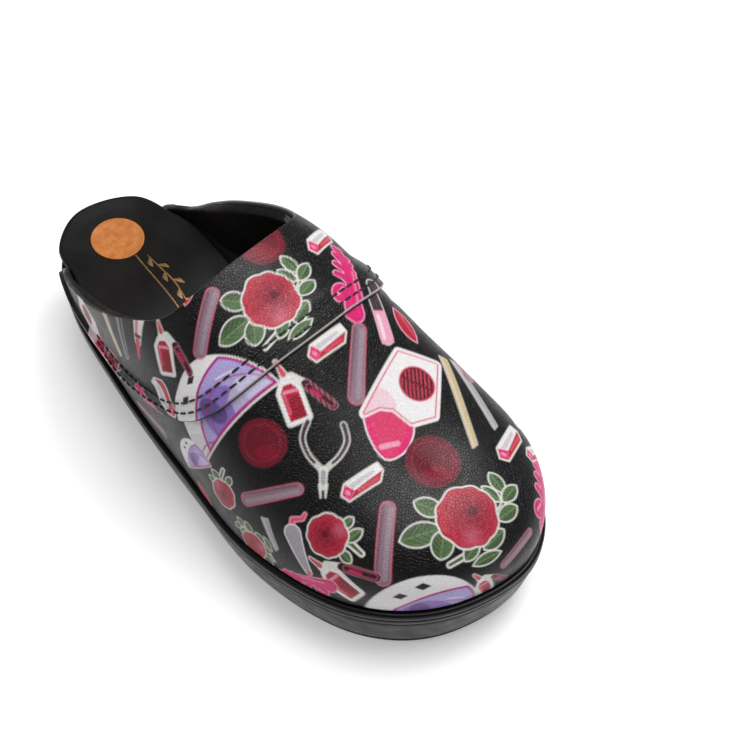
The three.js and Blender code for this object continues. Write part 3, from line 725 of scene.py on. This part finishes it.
long_stick, short_stick, dark_stick = stick(41, "tan"), stick(20, "tan"), stick(20, "ink")
grey_stick, thin_stick = stick(34, "grey"), stick(17, "grey")


def flat_brush(b):
    b.fill(b.bar((0, -9), (0, 12), 3.1), "cream", 0.8)
    b.fill(b.bar((0, 3), (0, 12), 2.5), "dusk")
    b.fill(b.polygon([(-2.6, -11), (2.6, -11), (2.6, 2), (-2.6, 2)], 0.3), "blush")
    b.fill(b.bar((-1, -9), (-1, 0), 0.8), "white", 0.7)


def petal(b):
    shape, across, _ = b.leaf_shape((0, -8), (0, 8), 6.4)
    b.outlined(shape, "red", "blush", 0.6)
    b.fill(np.maximum(shape + 0.8, np.abs(across - 1) - 0.4), "rose", 0.8)


def slim_brush(b):
    b.fill(b.bar((0, 8), (0, -2), 3.2, 2.0), "cream")
    b.fill(b.bar((0, 7.6), (0, -1), 2.4, 1.4), "white")
    b.fill(b.bar((-1, 7), (-0.8, 0), 0.8), "rose", 0.8)
    b.fill(b.bar((0, -2), (0, -9), 1.5, 0.7), "coral")
    b.fill(np.maximum(b.bar((0, 8), (0, -2), 2.6, 1.6), np.abs(b.y - 0.4) - 0.8), "wine")


# kind, place in the flat leather, direction of its +y, scale
PRINT = [
    (disc, -8, 9, 137, 1.0), (lamp, 31.5, -44.5, 178, 0.92), (rose, 13.5, -3, 138, 0.97),
    (nail_file, 2, -27.5, 118, 0.86), (buffer_block, 0, 33.5, 122, 0.95), (flame, 20.5, 29.5, 143, 1.0),
    (bottle, -8.5, -48.5, 128, 0.9), (bottle, 43, -18.8, 158, 1.0), (buffer_block, 38, 4.2, 105, 0.95),
    (nail_file, 50.7, 9.5, 134, 1.04), (disc, 46.5, -38.8, 133, 0.92), (nippers, 69.4, -24.7, 134, 1.0),
    (device, 72, 15.5, 121, 1.0), (buffer_block, 84.7, -19.2, 96, 0.92),
    (nail_file, 59.8, -49.5, 53, 0.86), (nail_file, 106.5, -28.7, 126, 1.0),
    (disc, 97.3, 6.4, 135, 1.05), (rose, 121, 0.5, 118, 1.02), (rosebud, 91.3, -39.6, 215, 0.95),
    (tube, 78.8, -55.1, 135, 0.95), (bottle, 99, -53.5, 172, 1.0), (flame, 87.6, -67.1, -152, 0.8),
    (lamp, 143, -45, 140, 0.92), (nail_file, 142.9, 9.5, 101, 0.6), (bottle, 147, -10.5, 180, 0.7),
    (flame, 132.6, 36.9, 140, 0.9), (long_stick, 84.4, 33.6, 152, 1.0), (grey_stick, 85.1, 43, 163, 1.0),
    (buffer_block, 109.8, 36.5, 122, 0.95), (flat_brush, 40, 31, 157, 1.0),
    (petal, 47.1, 39.5, 177, 1.0), (slim_brush, -22.4, -54.7, 104, 1.0),
    (dark_stick, -32.9, -61.7, 114, 1.0), (short_stick, -41, -66.5, 132, 1.0),
    (device, -62, -80, 153, 0.62), (rosebud, -40, -86, 161, 0.62),
    (buffer_block, -2.3, -66.3, 180, 0.9), (flame, -14, -79, 168, 0.5), (lamp, 20, -80, 150, 0.45),
    (rosebud, 37, -69.9, 316, 0.75), (rose, 60, -76, 190, 0.55), (thin_stick, 66.8, -61.6, 143, 0.8),
    (petal, -10, -25, 120, 0.6),
    # the inner side of the foot
    (bottle, 22, 58, 150, 1.0), (nippers, 40, 66, 160, 0.9), (rose, 8, 82, 145, 0.85),
    (disc, -14, 66, 135, 0.8), (nail_file, -22, 52, 80, 0.85), (lamp, 58, 88, -10, 0.8),
    (nail_file, 66, 58, 140, 0.9), (rosebud, 84, 66, 120, 0.85), (buffer_block, -30, 78, 110, 0.9),
    (flame, -48, 70, 150, 0.7), (tube, -60, 84, 130, 0.9), (disc, -76, 92, 135, 0.6),
    (bottle, 98, 58, 150, 0.8), (petal, 112, 60, 170, 0.9), (nail_file, 30, 96, 60, 0.85),
    (buffer_block, 118, 48, 100, 0.8), (nail_file, -4, 104, 100, 0.8), (bottle, -34, 98, 140, 0.8),
    (slim_brush, -86, -96, 150, 0.8), (disc, -58, -98, 133, 0.6), (nail_file, -18, -98, 190, 0.8),
    (petal, 24, -94, 150, 0.8), (bottle, 118, -66, 190, 0.7),
]


def printed(flat):
    """Colours of the print at points of the flat leather."""
    color = np.tile(INK["ground"], (len(flat), 1))
    for kind, x, y, turn, scale in PRINT:
        brush = Brush(flat, color, (x, y), turn, scale)
        if len(brush.near):
            kind(brush)
            brush.done()
    return color


# ------------------------------------------------------------------ mesh building


def build(name, points, faces, material, replaces=(), sharp=None, colors=None):
    """One visible piece from points in millimetres."""
    mesh = bpy.data.meshes.new(name)
    faces = faces if isinstance(faces, list) else faces.tolist()
    mesh.from_pydata((np.asarray(points, float) * MM).tolist(), [], faces)
    mesh.validate()
    mesh.polygons.foreach_set("use_smooth", np.ones(len(mesh.polygons), bool))
    if sharp is not None:
        mesh.set_sharp_from_angle(angle=math.radians(sharp))
    if colors is not None:
        layer = mesh.color_attributes.new("print", "FLOAT_COLOR", "POINT")
        rgba = np.concatenate([colors, np.ones((len(colors), 1))], 1).astype(np.float32)
        layer.data.foreach_set("color", rgba.ravel())
    mesh.update()
    piece = bpy.data.objects.new(name, mesh)
    bpy.context.scene.collection.objects.link(piece)
    mesh.materials.append(material)
    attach(piece, "root")
    if replaces:
        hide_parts(*replaces)
    return piece


def strip_faces(rows, columns, wrap_rows=False, wrap_columns=False, start=0, flip=False):
    """Quads of a grid of points kept row by row."""
    r = np.arange(rows if wrap_rows else rows - 1)
    c = np.arange(columns if wrap_columns else columns - 1)
    r, c = np.meshgrid(r, c, indexing="ij")
    r2, c2 = (r + 1) % rows, (c + 1) % columns
    quads = np.stack([r * columns + c, r * columns + c2, r2 * columns + c2, r2 * columns + c], -1)
    quads = quads.reshape(-1, 4) + start
    return quads[:, ::-1] if flip else quads


def sheet(name, grid, material, node, colors=None, flip=False):
    """A piece through a grid of points, in place of one CAD node."""
    colors = None if colors is None else colors.reshape(-1, 3)
    faces = strip_faces(*grid.shape[:2], flip=flip)
    return build(name, grid.reshape(-1, 3), faces, material, (node,), colors=colors)


def ladder(count, start, flip=False):
    """Closes a ring whose two halves mirror each other."""
    faces = []
    for i in range(count // 2):
        far = (count - i) % count
        face = [i, far, count - 1 - i, i + 1]
        if len(set(face)) == 4:
            faces.append([start + k for k in (face[::-1] if flip else face)])
        else:
            faces.append([start + k for k in sorted(set(face), key=face.index)])
    return faces


def loft(name, rings, material, replaces=(), sharp=None, endless=False, caps=(True, True), flip=False):
    """A piece through a stack of closed rings with equal counts."""
    count = len(rings[0])
    faces = strip_faces(len(rings), count, wrap_rows=endless, wrap_columns=True, flip=flip).tolist()
    if not endless:
        if caps[0]:
            faces += ladder(count, 0, flip)
        if caps[1]:
            faces += ladder(count, (len(rings) - 1) * count, not flip)
    return build(name, np.concatenate(rings), faces, material, replaces, sharp)


RING_STATIONS = np.linspace(HEEL, TOE, 181)


def ring(inset, height, share=0.0):
    """Ring of a sole layer: inset from the rim, then moved the given share of the way to the middle line."""
    parts = []
    for side, stations in ((MEDIAL, RING_STATIONS), (LATERAL, RING_STATIONS[-2:0:-1])):
        distance = inset(stations, side) if callable(inset) else np.full(len(stations), float(inset))
        plan = lerp(rim_point(side, stations, distance), spine_point(stations), share)
        parts.append(np.column_stack([plan, height(plan[:, 0], stations)]))
    return np.concatenate(parts) + CENTRING


# ------------------------------------------------------------------ sole

ARCH = {"x": -36, "half": 36, "rise": 4}
TOE_SPRING = {"start": 98, "rise": 3}
TREAD_THICK = 4.5
RAND_HEIGHT = 7.5
SHELF_INSET = 5.35  # the sole's upper edge, inside the rand


def ground_height(x):
    arch = ARCH["rise"] * np.cos(np.clip((x - ARCH["x"]) / ARCH["half"], -1, 1) * math.pi / 2) ** 2
    return arch + TOE_SPRING["rise"] * step(x, TOE_SPRING["start"], 131) ** 2


def heel_share(x):
    return 1 - step(x, -62, -18)


WALL_FRONT = through([[0, 4.5], [0.06, 3.7], [0.3, 2.7], [0.6, 1.7], [0.88, 1.0], [0.95, 1.15], [1, 2.4]])
WALL_HEEL = through([[0, 6], [0.06, 4.9], [0.3, 3.6], [0.52, 2.6], [0.57, 3.2], [0.64, 5.5], [0.78, 6.1],
                     [0.93, 5.2], [1, 2.4]])


def wall_ring(share):
    inset = lambda station, side: lerp(WALL_FRONT(share), WALL_HEEL(share), heel_share(station))
    low = lambda x: ground_height(x) + TREAD_THICK + GAP
    high = lambda x: seat_height(x) - RAND_HEIGHT - GAP
    return ring(inset, lambda x, s: lerp(low(x), high(x), share))


TREAD_INSET = (5.1, 6.6)  # at the forefoot and at the heel
TREAD_FIELDS = ((-96, -74), (14, 98))
GROOVE = {"depth": 2.0, "half": 1.5, "pitch": 10.5, "border": 7.0, "flank": 0.5}


def groove_depth(x, from_edge):
    """Depth of the cross grooves under the tread."""
    cut = np.zeros_like(x)
    for start, stop in TREAD_FIELDS:
        for middle in np.arange(start, stop + 0.01, GROOVE["pitch"]):
            away = np.abs(x - middle)
            cut = np.maximum(cut, 1 - step(away, GROOVE["half"] - GROOVE["flank"], GROOVE["half"]))
    return GROOVE["depth"] * cut * step(from_edge, GROOVE["border"] - 1, GROOVE["border"])


def make_tread():
    edge = lambda extra: lambda station, side: lerp(*TREAD_INSET, heel_share(station)) + extra
    top = lambda x, s: ground_height(x) + TREAD_THICK
    rings = [ring(edge(0), top, share) for share in (0.9, 0.5, 0.2)]
    rings += [ring(edge(0.25), top), ring(edge(0), lambda x, s: top(x, s) - 0.25)]
    rings += [ring(edge(0), lambda x, s, z=z: ground_height(x) + z) for z in (2.6, 1.0)]
    rim = ring(edge(1.0), lambda x, s: ground_height(x))
    rings += [ring(edge(0.3), lambda x, s: ground_height(x) + 0.3), rim]
    for share in np.linspace(0.03, 0.97, 60):
        low = ring(edge(1.0), lambda x, s: ground_height(x), share)
        away = np.hypot(*(low - rim)[:, :2].T)
        low[:, 2] += groove_depth(low[:, 0], away)
        rings.append(low)
    loft("tread_face", rings, moulded("tread rubber", srgb("151515"), 0.62, 0.7, 0.05).material,
         ("tread_outsole",), sharp=50)


def make_sole():
    shares = np.unique(np.r_[np.linspace(0, 1, 34), 0.02, 0.04, 0.53, 0.55, 0.59, 0.96, 0.98])
    under = lambda drop: lambda x, s: seat_height(x) - drop
    rings = [wall_ring(share) for share in shares]
    rings += [ring(SHELF_INSET, under(RAND_HEIGHT + GAP)), ring(SHELF_INSET, under(GAP))]
    rings += [ring(SHELF_INSET, under(GAP), share) for share in (0.45, 0.8)]
    loft("sole_body", rings, moulded("moulded sole", srgb("0b0b0b"), 0.36, 0.5, 0.02, Coat_Weight=0.05,
                                     Coat_Roughness=0.3).material,
         ("sole_unit",), sharp=50, flip=True)
    profile = [
        (5, 0.35), (1.7, 0.35), (1.0, 0.45), (0.45, 0.8), (0.15, 1.4), (0, 2.2), (0, 3.2), (0.12, 3.5),
        (0.5, 3.75), (0.12, 4.0), (0, 4.3), (0, 5.4), (0.1, 6.3), (0.35, 6.95), (0.8, 7.35), (1.3, 7.5),
        (5, 7.5),
    ]
    band = [ring(inset, under(drop)) for inset, drop in profile]
    loft("rand_band", band, moulded("moulded rand", srgb("0b0b0b"), 0.33, 0.5, 0.02, Coat_Weight=0.06,
                                    Coat_Roughness=0.28).material,
         ("rand_strip",), sharp=60, endless=True)


# ------------------------------------------------------------------ footbed

BOARD_TOP = LEATHER + 2 * GAP + 1.6
BOARD_FOOT = LEATHER + 2 * GAP
INSIDE_FOOT = 5.6
INSIDE_RIM = {
    "medial": through([
        [-100, 5.3], [-80, 4.6], [-60, 3.7], [-20, 3.4], [30, 3.2], [70, 3.5], [110, 4.4], [150, 5.3],
    ]),
    "lateral": through([[-100, 5.3], [-20, 5.2], [15, 5.6], [50, 6.4], [90, 6.0], [150, 5.5]]),
}
COVER_INSET = 1.2


def cover_edge(extra=0.0, flare=1.0):
    """Inset of the cover's edge: its skirt stays inside the wings, its rim flares out to the lining."""
    def inset(station, side):
        skirt = lerp(COVER_INSET, INSIDE_FOOT, step(station, -140, -120))
        rim = lerp(COVER_INSET, INSIDE_RIM["medial" if side is MEDIAL else "lateral"](station),
                   step(station, -127, -98))
        return extra + lerp(skirt, rim, flare)
    return inset


def cover_height(x, share):
    rim = lerp(seat_height(x) + BOARD_TOP + 4.2, 52, heel_share(x + 14))
    dish = lerp(1.4, 4.3, heel_share(x + 24))
    return rim - dish * (1 - (1 - share) ** 2.2)


def make_footbed():
    rings = []
    foot = lambda x, s: seat_height(x) + BOARD_FOOT * step(s, -142, -121)
    rings.append(ring(cover_edge(1.0, 0), foot))
    rings.append(ring(cover_edge(0.15, 0), foot))
    rings.append(ring(cover_edge(0, 0.05), lambda x, s: foot(x, s) + 0.5))
    rings.append(ring(cover_edge(0.2, 0.4), lambda x, s: lerp(foot(x, s), cover_height(x, 0), 0.4)))
    rolled = [
        (0.0, 2.2), (0.0, 1.5), (0.18, 0.9), (0.55, 0.4), (1.05, 0.1), (1.6, 0.0), (2.2, 0.12), (2.8, 0.3),
    ]
    for inset, drop in rolled:
        rings.append(ring(cover_edge(inset), lambda x, s, d=drop: cover_height(x, 0) - d))
    shares = np.linspace(0.13, 0.97, 40)
    for share in shares:
        sunk = lambda x, s, k=share: cover_height(x, k) - 0.3 * (1 - step(k, 0.1, 0.35))
        rings.append(ring(cover_edge(2.8), sunk, share))
    n = leather("footbed leather", srgb("171514"), 0.5, 0.9, 0.05)
    n.two_tone((26, 4, 0.55), (0.42, 0.72), srgb("0f0d0c"), srgb("181615"))
    return loft("footbed_leather", rings, n.material, ("footbed_cover",), sharp=75,
                caps=(False, True), flip=True)


PATCH = {"x": -105, "y": 1.5, "rx": 12.4, "ry": 11.8}
# rings of the label: share of its radius, height over the leather
PATCH_RINGS = (
    (1, 0.06), (1, 0.34), (0.985, 0.42), (0.955, 0.46), (0.93, 0.4), (0.7, 0.4), (0.45, 0.4),
    (0.2, 0.4), (0.02, 0.4),
)


def surface_under(piece):
    """Height of a piece's top in millimetres, looking straight down."""
    mesh = piece.data
    tree = BVHTree.FromPolygons([v.co[:] for v in mesh.vertices], [p.vertices[:] for p in mesh.polygons])

    def height(x, y):
        hit = tree.ray_cast(Vector((x * MM, y * MM, 0.2)), Vector((0, 0, -1)))[0]
        return hit.z / MM

    return height


def make_label(footbed):
    height = surface_under(footbed)
    turns = np.linspace(0, 2 * math.pi, 73)[:-1]
    rings = []
    for share, lift in PATCH_RINGS:
        x = PATCH["x"] + share * PATCH["rx"] * np.cos(turns) + CENTRING[0]
        y = PATCH["y"] + share * PATCH["ry"] * np.sin(turns) + CENTRING[1]
        rings.append(np.array([(a, b, height(a, b) + lift) for a, b in zip(x, y)]))
    n = leather("label leather", srgb("c4743a"), 0.55, 0.8, 0.05)
    n.two_tone((4, 5, 0.7), (0.35, 0.7), srgb("b96a32"), srgb("d08a4e"))
    loft("heel_label", rings, n.material, ("heel_patch",), caps=(False, True))
    return height


FOIL_STEPS = 40


def foil_ribbon(height, points, width):
    """Points and faces of a flat ribbon of foil along a smooth line on the footbed."""
    line = rounded(points, FOIL_STEPS)
    across = unit(np.gradient(line, axis=0))[:, ::-1] * (1, -1)
    widths = np.atleast_1d(width)
    half = np.interp(np.linspace(0, 1, FOIL_STEPS), np.linspace(0, 1, len(widths)), widths) / 2
    rows = []
    for side in (-1, -0.5, 0.5, 1):
        xy = line + across * half[:, None] * side
        lift = 0.05 if abs(side) == 1 else 0.14
        rows.append([(x, y, height(x, y) + lift) for x, y in xy])
    return np.array(rows).reshape(-1, 3), strip_faces(4, FOIL_STEPS, flip=True)


def make_foil(height):
    """A plain foil rule and a small leafy flourish, stamped along the middle of the footbed."""
    cx, cy = CENTRING[0], CENTRING[1]
    shapes = [([(-92, 1.5), (-75, -1), (-55, -4), (-35, -8)], 0.7)]
    stem = [(-88, 5.2), (-77, 4.4), (-66, 3.4), (-55, 0.8), (-44, -1.6)]
    shapes.append((stem, [0.4, 0.8, 0.7, 0.4]))
    for k, (x, y) in enumerate(zip(range(-86, -49, 6), (5.1, 4.6, 4.1, 3.6, 2.6, 1.1, -0.3))):
        side = 1 if k % 2 else -1
        shapes.append(([(x, y), (x + 2.4, y + side * 1.9), (x + 5.4, y + side * 2.6)], [0.3, 2.2, 0.3]))
    points, faces, start = [], [], 0
    for line, width in shapes:
        p, f = foil_ribbon(height, [(x + cx, y + cy) for x, y in line], width)
        points.append(p)
        faces.append(f + start)
        start += len(p)
    n = Nodes("gold foil", srgb("b28a5a"), 0.34, Metallic=0.75)
    n.bump(n.noise(0.6, 3), 0.03, 0.6)
    n.two_tone((1.2, 4, 0.7), (0.4, 0.65), srgb("a67b4a"), srgb("c9a272"))
    build("footbed_foil", np.concatenate(points), np.concatenate(faces), n.material)


# ------------------------------------------------------------------ upper

LAP = 9
RISE_BEFORE, RISE_AFTER = 9, 1.5  # where the panel starts and ends its step up, from the lap's rear edge


def lap_station(angle):
    top, front = topline(angle), seam(angle)
    return np.maximum(lerp(top, front, 0.12), front - LAP)


def even_angles(count, low, high, lines):
    """Angles spaced so that the steps along the given lines over the arch stay even."""
    a = np.linspace(low, high, 1441)
    runs = [np.linalg.norm(np.diff(upper_point(line(a), a), axis=0), axis=1) for line in lines]
    length = np.r_[0, np.cumsum(np.max(runs, axis=0))]
    return np.interp(np.linspace(0, length[-1], count), length, a)


RAW = np.array(srgb("b9b4b0"))
CORE = np.array(srgb("1d1b1d"))


def upper_leather():
    """Coated leather that shows the print, with fine pebbled grain."""
    n = leather("printed leather", (0.02, 0.02, 0.025), 0.34, 1.05, 0.12, Coat_Weight=0.1,
                Coat_Roughness=0.27)
    paint = n.add("ShaderNodeAttribute", attribute_name="print").outputs["Color"]
    mottle = n.ramp(n.noise(0.9, 4, 0.75), 0, 1, 0.3, 0.72)
    lighter = n.mix(0.1, paint, (0.9, 0.85, 0.88), "SOFT_LIGHT")
    n.color(n.mix(mottle, n.mix(0.2, paint, (0.01, 0.01, 0.01)), lighter))
    return n.material


# leather turned under at the feather line: distance in from it, height over the sole's edge
TURNED_UNDER = ((0.02, 1.2), (0.35, 0.6), (1.0, 0.25), (2.2, 0.2), (4.5, 0.2))


def make_vamp(material):
    """The front of the upper, from under the instep panel to the toe, turned in at the feather line."""
    rows, columns = 330, 680
    angles = even_angles(columns, 0, 180, (seam, lambda a: np.full(len(a), 40.0)))
    t = np.linspace(0, 1, rows)[:, None]
    lap, front = lap_station(angles)[None], seam(angles)[None]
    hidden = 0.03  # share of the rows that lie under the instep panel
    ahead = lerp(front, TOE, (t - hidden) / (1 - hidden))
    stations = np.where(t < hidden, lerp(lap, front, t / hidden), ahead)
    angle = np.broadcast_to(angles, stations.shape)
    face = upper_point(stations, angle)
    flat = flat_point(stations, angle)
    color = printed(flat.reshape(-1, 2)).reshape(rows, columns, 3)
    # the leather turns under at both feather lines
    skirts = []
    for k, (side, station) in enumerate(((LATERAL, stations[:, 0]), (MEDIAL, stations[:, -1]))):
        turned = []
        for inset, lift in TURNED_UNDER:
            plan = rim_point(side, station, FEATHER_INSET + inset)
            plan_z = seat_height(plan[:, 0]) + lift
            turned.append(np.column_stack([plan, plan_z]) + CENTRING)
        skirts.append(np.array(turned).transpose(1, 0, 2))
    points = np.concatenate([skirts[0][:, ::-1], face, skirts[1]], 1)
    # painted shade: the turned-under strips are left unprinted and painted darker than the print's ground,
    # for the crease against the sole
    dark = np.broadcast_to(INK["ground"] * 0.6, skirts[0].shape)
    colors = np.concatenate([dark, color, dark], 1)
    sheet("vamp_leather", points, material, "vamp", colors, flip=True)


def panel_rise(station, angle):
    """Height that the panel stands over the vamp's level: it steps up where the two lap."""
    lap = lap_station(angle)
    top = topline(angle)
    start = np.maximum(lap - RISE_BEFORE, lerp(top, lap, 0.35))
    return (LEATHER + GAP) * step(station, start, lap + RISE_AFTER)


def make_panel(material):
    """The instep panel, with its cut front edge and its cut topline edge."""
    rows, columns = 160, 620
    angles = even_angles(columns, 2, 178, (topline, seam))
    t = np.linspace(0, 1, rows)[:, None]
    stations = lerp(topline(angles)[None], seam(angles)[None], t)
    angle = np.broadcast_to(angles, stations.shape)
    rise = panel_rise(stations, angle)
    face = upper_point(stations, angle, -rise)
    flat = flat_point(stations, angle)
    color = printed(flat.reshape(-1, 2)).reshape(rows, columns, 3)
    cut = (0.25, 0.9, LEATHER - 0.1, LEATHER + 0.1)
    front = [upper_point(stations[-1], angles, -rise[-1] + d) for d in cut]
    out = unit(face[-1] - face[-3])
    front = [p + out * g for p, g in zip(front, (0.22, 0.3, 0.22, -2.0))]
    top = [upper_point(stations[0], angles, -rise[0] + d) for d in (0.3, 1.0, LEATHER)]
    back = unit(face[0] - face[2])
    top = [p + back * g for p, g in zip(top, (0.25, 0.3, 0.1))]
    points = np.concatenate([np.array(top[::-1]), face, np.array(front)], 0)
    core = np.broadcast_to(CORE, (columns, 3))
    pale = lerp(CORE, RAW, (step(angles, 38, 58) * (1 - step(angles, 150, 168)))[:, None])
    edge_top = np.stack([core, core, pale * 0.8])
    edge_front = np.stack([pale, core, core, core])
    color[-1] = pale
    colors = np.concatenate([edge_top, color, edge_front], 0)
    sheet("instep_leather", points, material, "instep_panel", colors, flip=True)


def make_linings():
    """Lining of both parts of the upper, rolled over the topline."""
    cloth = leather("lining", srgb("0c0b0b"), 0.6, 0.8, 0.05)
    angles = np.linspace(2.2, 177.8, 160)
    padding = (FOAM + GAP) * step(np.minimum(angles, 180 - angles), 8, 24)
    inner = LEATHER + GAP + padding + LINING
    rows = []
    top = topline(angles)
    roll = [(0.0, 0.3), (0.15, -0.35), (0.4, -0.8), (0.7, -0.8), (0.92, -0.3), (1.0, 0.6), (1.0, 2.0)]
    for share, down in roll:
        rows.append(upper_point(top + down, angles, lerp(LEATHER, inner, share)))
    back = lap_station(angles) + 3
    for t in np.linspace(0, 1, 40)[1:]:
        station = lerp(top + 2.0, back, t)
        thin = LEATHER + GAP + padding * (1 - step(t, 0.4, 0.9)) + LINING
        rows.append(upper_point(station, angles, thin))
    sheet("instep_lining_face", np.array(rows), cloth.material, "instep_lining")
    cloth = woven("vamp lining cloth", srgb("0a0a0a"), 0.7)
    t = np.linspace(0, 1, 120)[:, None]
    station = lerp(lap_station(angles)[None] + 1.0, TOE, t)
    depth = LEATHER + 2 * GAP + 1.0 * step(station, 90, 100) + LINING
    points = upper_point(station, np.broadcast_to(angles, station.shape), depth)
    sheet("vamp_lining_face", points, cloth.material, "vamp_lining")


def behind_seam(angle, back):
    """Point at a distance behind the seam edge, square to it over the leather."""
    station = seam(angle)
    across = np.linalg.norm(upper_point(station, angle - 0.5) - upper_point(station, angle + 0.5), axis=-1)
    slope = seam(angle + 0.5) - seam(angle - 0.5)
    run = np.hypot(across, slope)
    return station - back * across / run, angle + back * slope / run / across


STITCH = {"pitch": 4.3, "half": 1.65, "radius": 0.44}
STITCH_CAP = np.array([(0, 1, 2, 3), (0, 3, 4, 7), (4, 5, 6, 7)])  # closes an end with eight corners


def make_stitches():
    """Two rows of single stitches, each sunk into the panel at its ends."""
    n = Nodes("waxed thread", srgb("0d0c0e"), 0.42)
    n.bump(n.noise(0.35, 2, stretch=(1, 1, 3)), 0.08, 0.7)
    n.two_tone((1.5, 3), (0.35, 0.65), srgb("080809"), srgb("1c1a1e"))
    for end, back in (("front", 2.8), ("rear", 6.2)):
        angles = np.linspace(7, 173, 1600)
        station, angle = behind_seam(angles, back)
        line = upper_point(station, angle, -panel_rise(station, angle))
        length = np.r_[0, np.cumsum(np.linalg.norm(np.diff(line, axis=0), axis=1))]
        count = int(length[-1] // STITCH["pitch"])
        points, faces, start = [], [], 0
        sides, steps, pull = 8, 9, 0.1
        for k in range(count):
            middle = (k + 0.5) * length[-1] / count
            u = np.linspace(-STITCH["half"], STITCH["half"], steps)
            center = np.array([np.interp(middle + u, length, line[:, i]) for i in range(3)]).T
            a = np.interp(middle, length, np.arange(len(line))).astype(int)
            forward = unit(line[min(a + 2, len(line) - 1)] - line[max(a - 2, 0)])
            inner = upper_point(station[a], angle[a], 2.0)
            outward = unit(line[a] - inner)
            aside = unit(np.cross(forward, outward))
            profile = np.sqrt(np.clip(1 - (u / 1.75) ** 6, 0.02, 1))
            sink = -0.3 * (np.abs(u) / STITCH["half"]) ** 4 + pull
            for j in range(steps):
                turn = np.linspace(0, 2 * math.pi, sides, endpoint=False)
                spot = center[j] + outward * (sink[j] + 0.12)
                round_it = np.cos(turn)[:, None] * aside + np.sin(turn)[:, None] * outward
                points.append(spot + STITCH["radius"] * profile[j] * round_it)
            faces.append(strip_faces(steps, sides, wrap_columns=True, start=start, flip=True))
            faces.append(start + STITCH_CAP)
            faces.append(start + (steps - 1) * sides + STITCH_CAP[:, ::-1])
            start += steps * sides
        build(f"stitches_{end}", np.concatenate(points), np.concatenate(faces), n.material,
              (f"seam_thread_{end}",))


# ------------------------------------------------------------------ CAD nodes that stay as they are


def dress(node, nodes):
    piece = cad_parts[node]
    piece.data.materials.clear()
    piece.data.materials.append(nodes.material)


def dress_hidden_parts():
    steel = Nodes("brushed steel", srgb("a2a7ab"), 0.34, Metallic=1.0)
    steel.bump(steel.noise(0.4, 3, stretch=(0.05, 1, 1)), 0.02, 0.6)
    dress("shank", steel)
    dress("bottom_filler", granular("cork sheet", srgb("8c6942"), srgb("5e4225"), 1.8, 0.25))
    dress("footbed_core", granular("cork bed", srgb("93704a"), srgb("624628"), 2.2, 0.3))
    dress("insole_board", granular("fibre board", srgb("a07f58"), srgb("7f6242"), 0.8, 0.08))
    dress("toe_puff", granular("toe stiffener", srgb("d5ccba"), srgb("bfb49e"), 0.6, 0.06))
    dress("collar_foam", granular("collar foam", srgb("5c5c5c"), srgb("3c3c3c"), 0.7, 0.2))


# ------------------------------------------------------------------ floor and light


def make_floor():
    mesh = bpy.data.meshes.new("floor")
    half, steps = 3.0, 9
    side = np.linspace(-half, half, steps)
    x, y = np.meshgrid(side, side, indexing="ij")
    points = np.stack([x, y, np.full_like(x, -0.0002)], -1).reshape(-1, 3)
    mesh.from_pydata(points.tolist(), [], strip_faces(steps, steps, flip=True).tolist())
    floor = bpy.data.objects.new("floor", mesh)
    bpy.context.scene.collection.objects.link(floor)
    n = Nodes("pale floor", (0.9, 0.9, 0.9), 0.7, Emission_Color=(1, 1, 1, 1), Emission_Strength=0.36)
    n.bump(n.noise(3, 2), 0.02, 0.2)
    mesh.materials.append(n.material)


def area_light(name, place, target, size, power):
    data = bpy.data.lights.new(name, "AREA")
    data.shape = "RECTANGLE"
    data.size, data.size_y = size
    data.energy = power
    lamp_object = bpy.data.objects.new(name, data)
    bpy.context.scene.collection.objects.link(lamp_object)
    direction = Vector(target) - Vector(place)
    lamp_object.location = place
    lamp_object.rotation_euler = direction.to_track_quat("-Z", "Y").to_euler()


def make_light():
    world = bpy.data.worlds.new("studio")
    bpy.context.scene.world = world
    world.use_nodes = True
    world.node_tree.nodes["Background"].inputs["Color"].default_value = (1, 1, 1, 1)
    world.node_tree.nodes["Background"].inputs["Strength"].default_value = 0.15
    area_light("top", (0.09, 0.16, 0.95), (0, 0, 0.03), (0.62, 0.62), 7.6)
    area_light("gloss", (0.12, 0.42, 0.9), (0, 0, 0.06), (0.3, 0.3), 1.9)
    area_light("side", (-0.35, -0.75, 0.5), (0, 0, 0.04), (0.6, 0.5), 0.45)
    bpy.context.scene.view_settings.view_transform = "Standard"


make_floor()
make_light()
make_sole()
make_tread()
footbed = make_footbed()
footbed_height = make_label(footbed)
make_foil(footbed_height)
skin = upper_leather()
make_vamp(skin)
make_panel(skin)
make_linings()
make_stitches()
dress_hidden_parts()
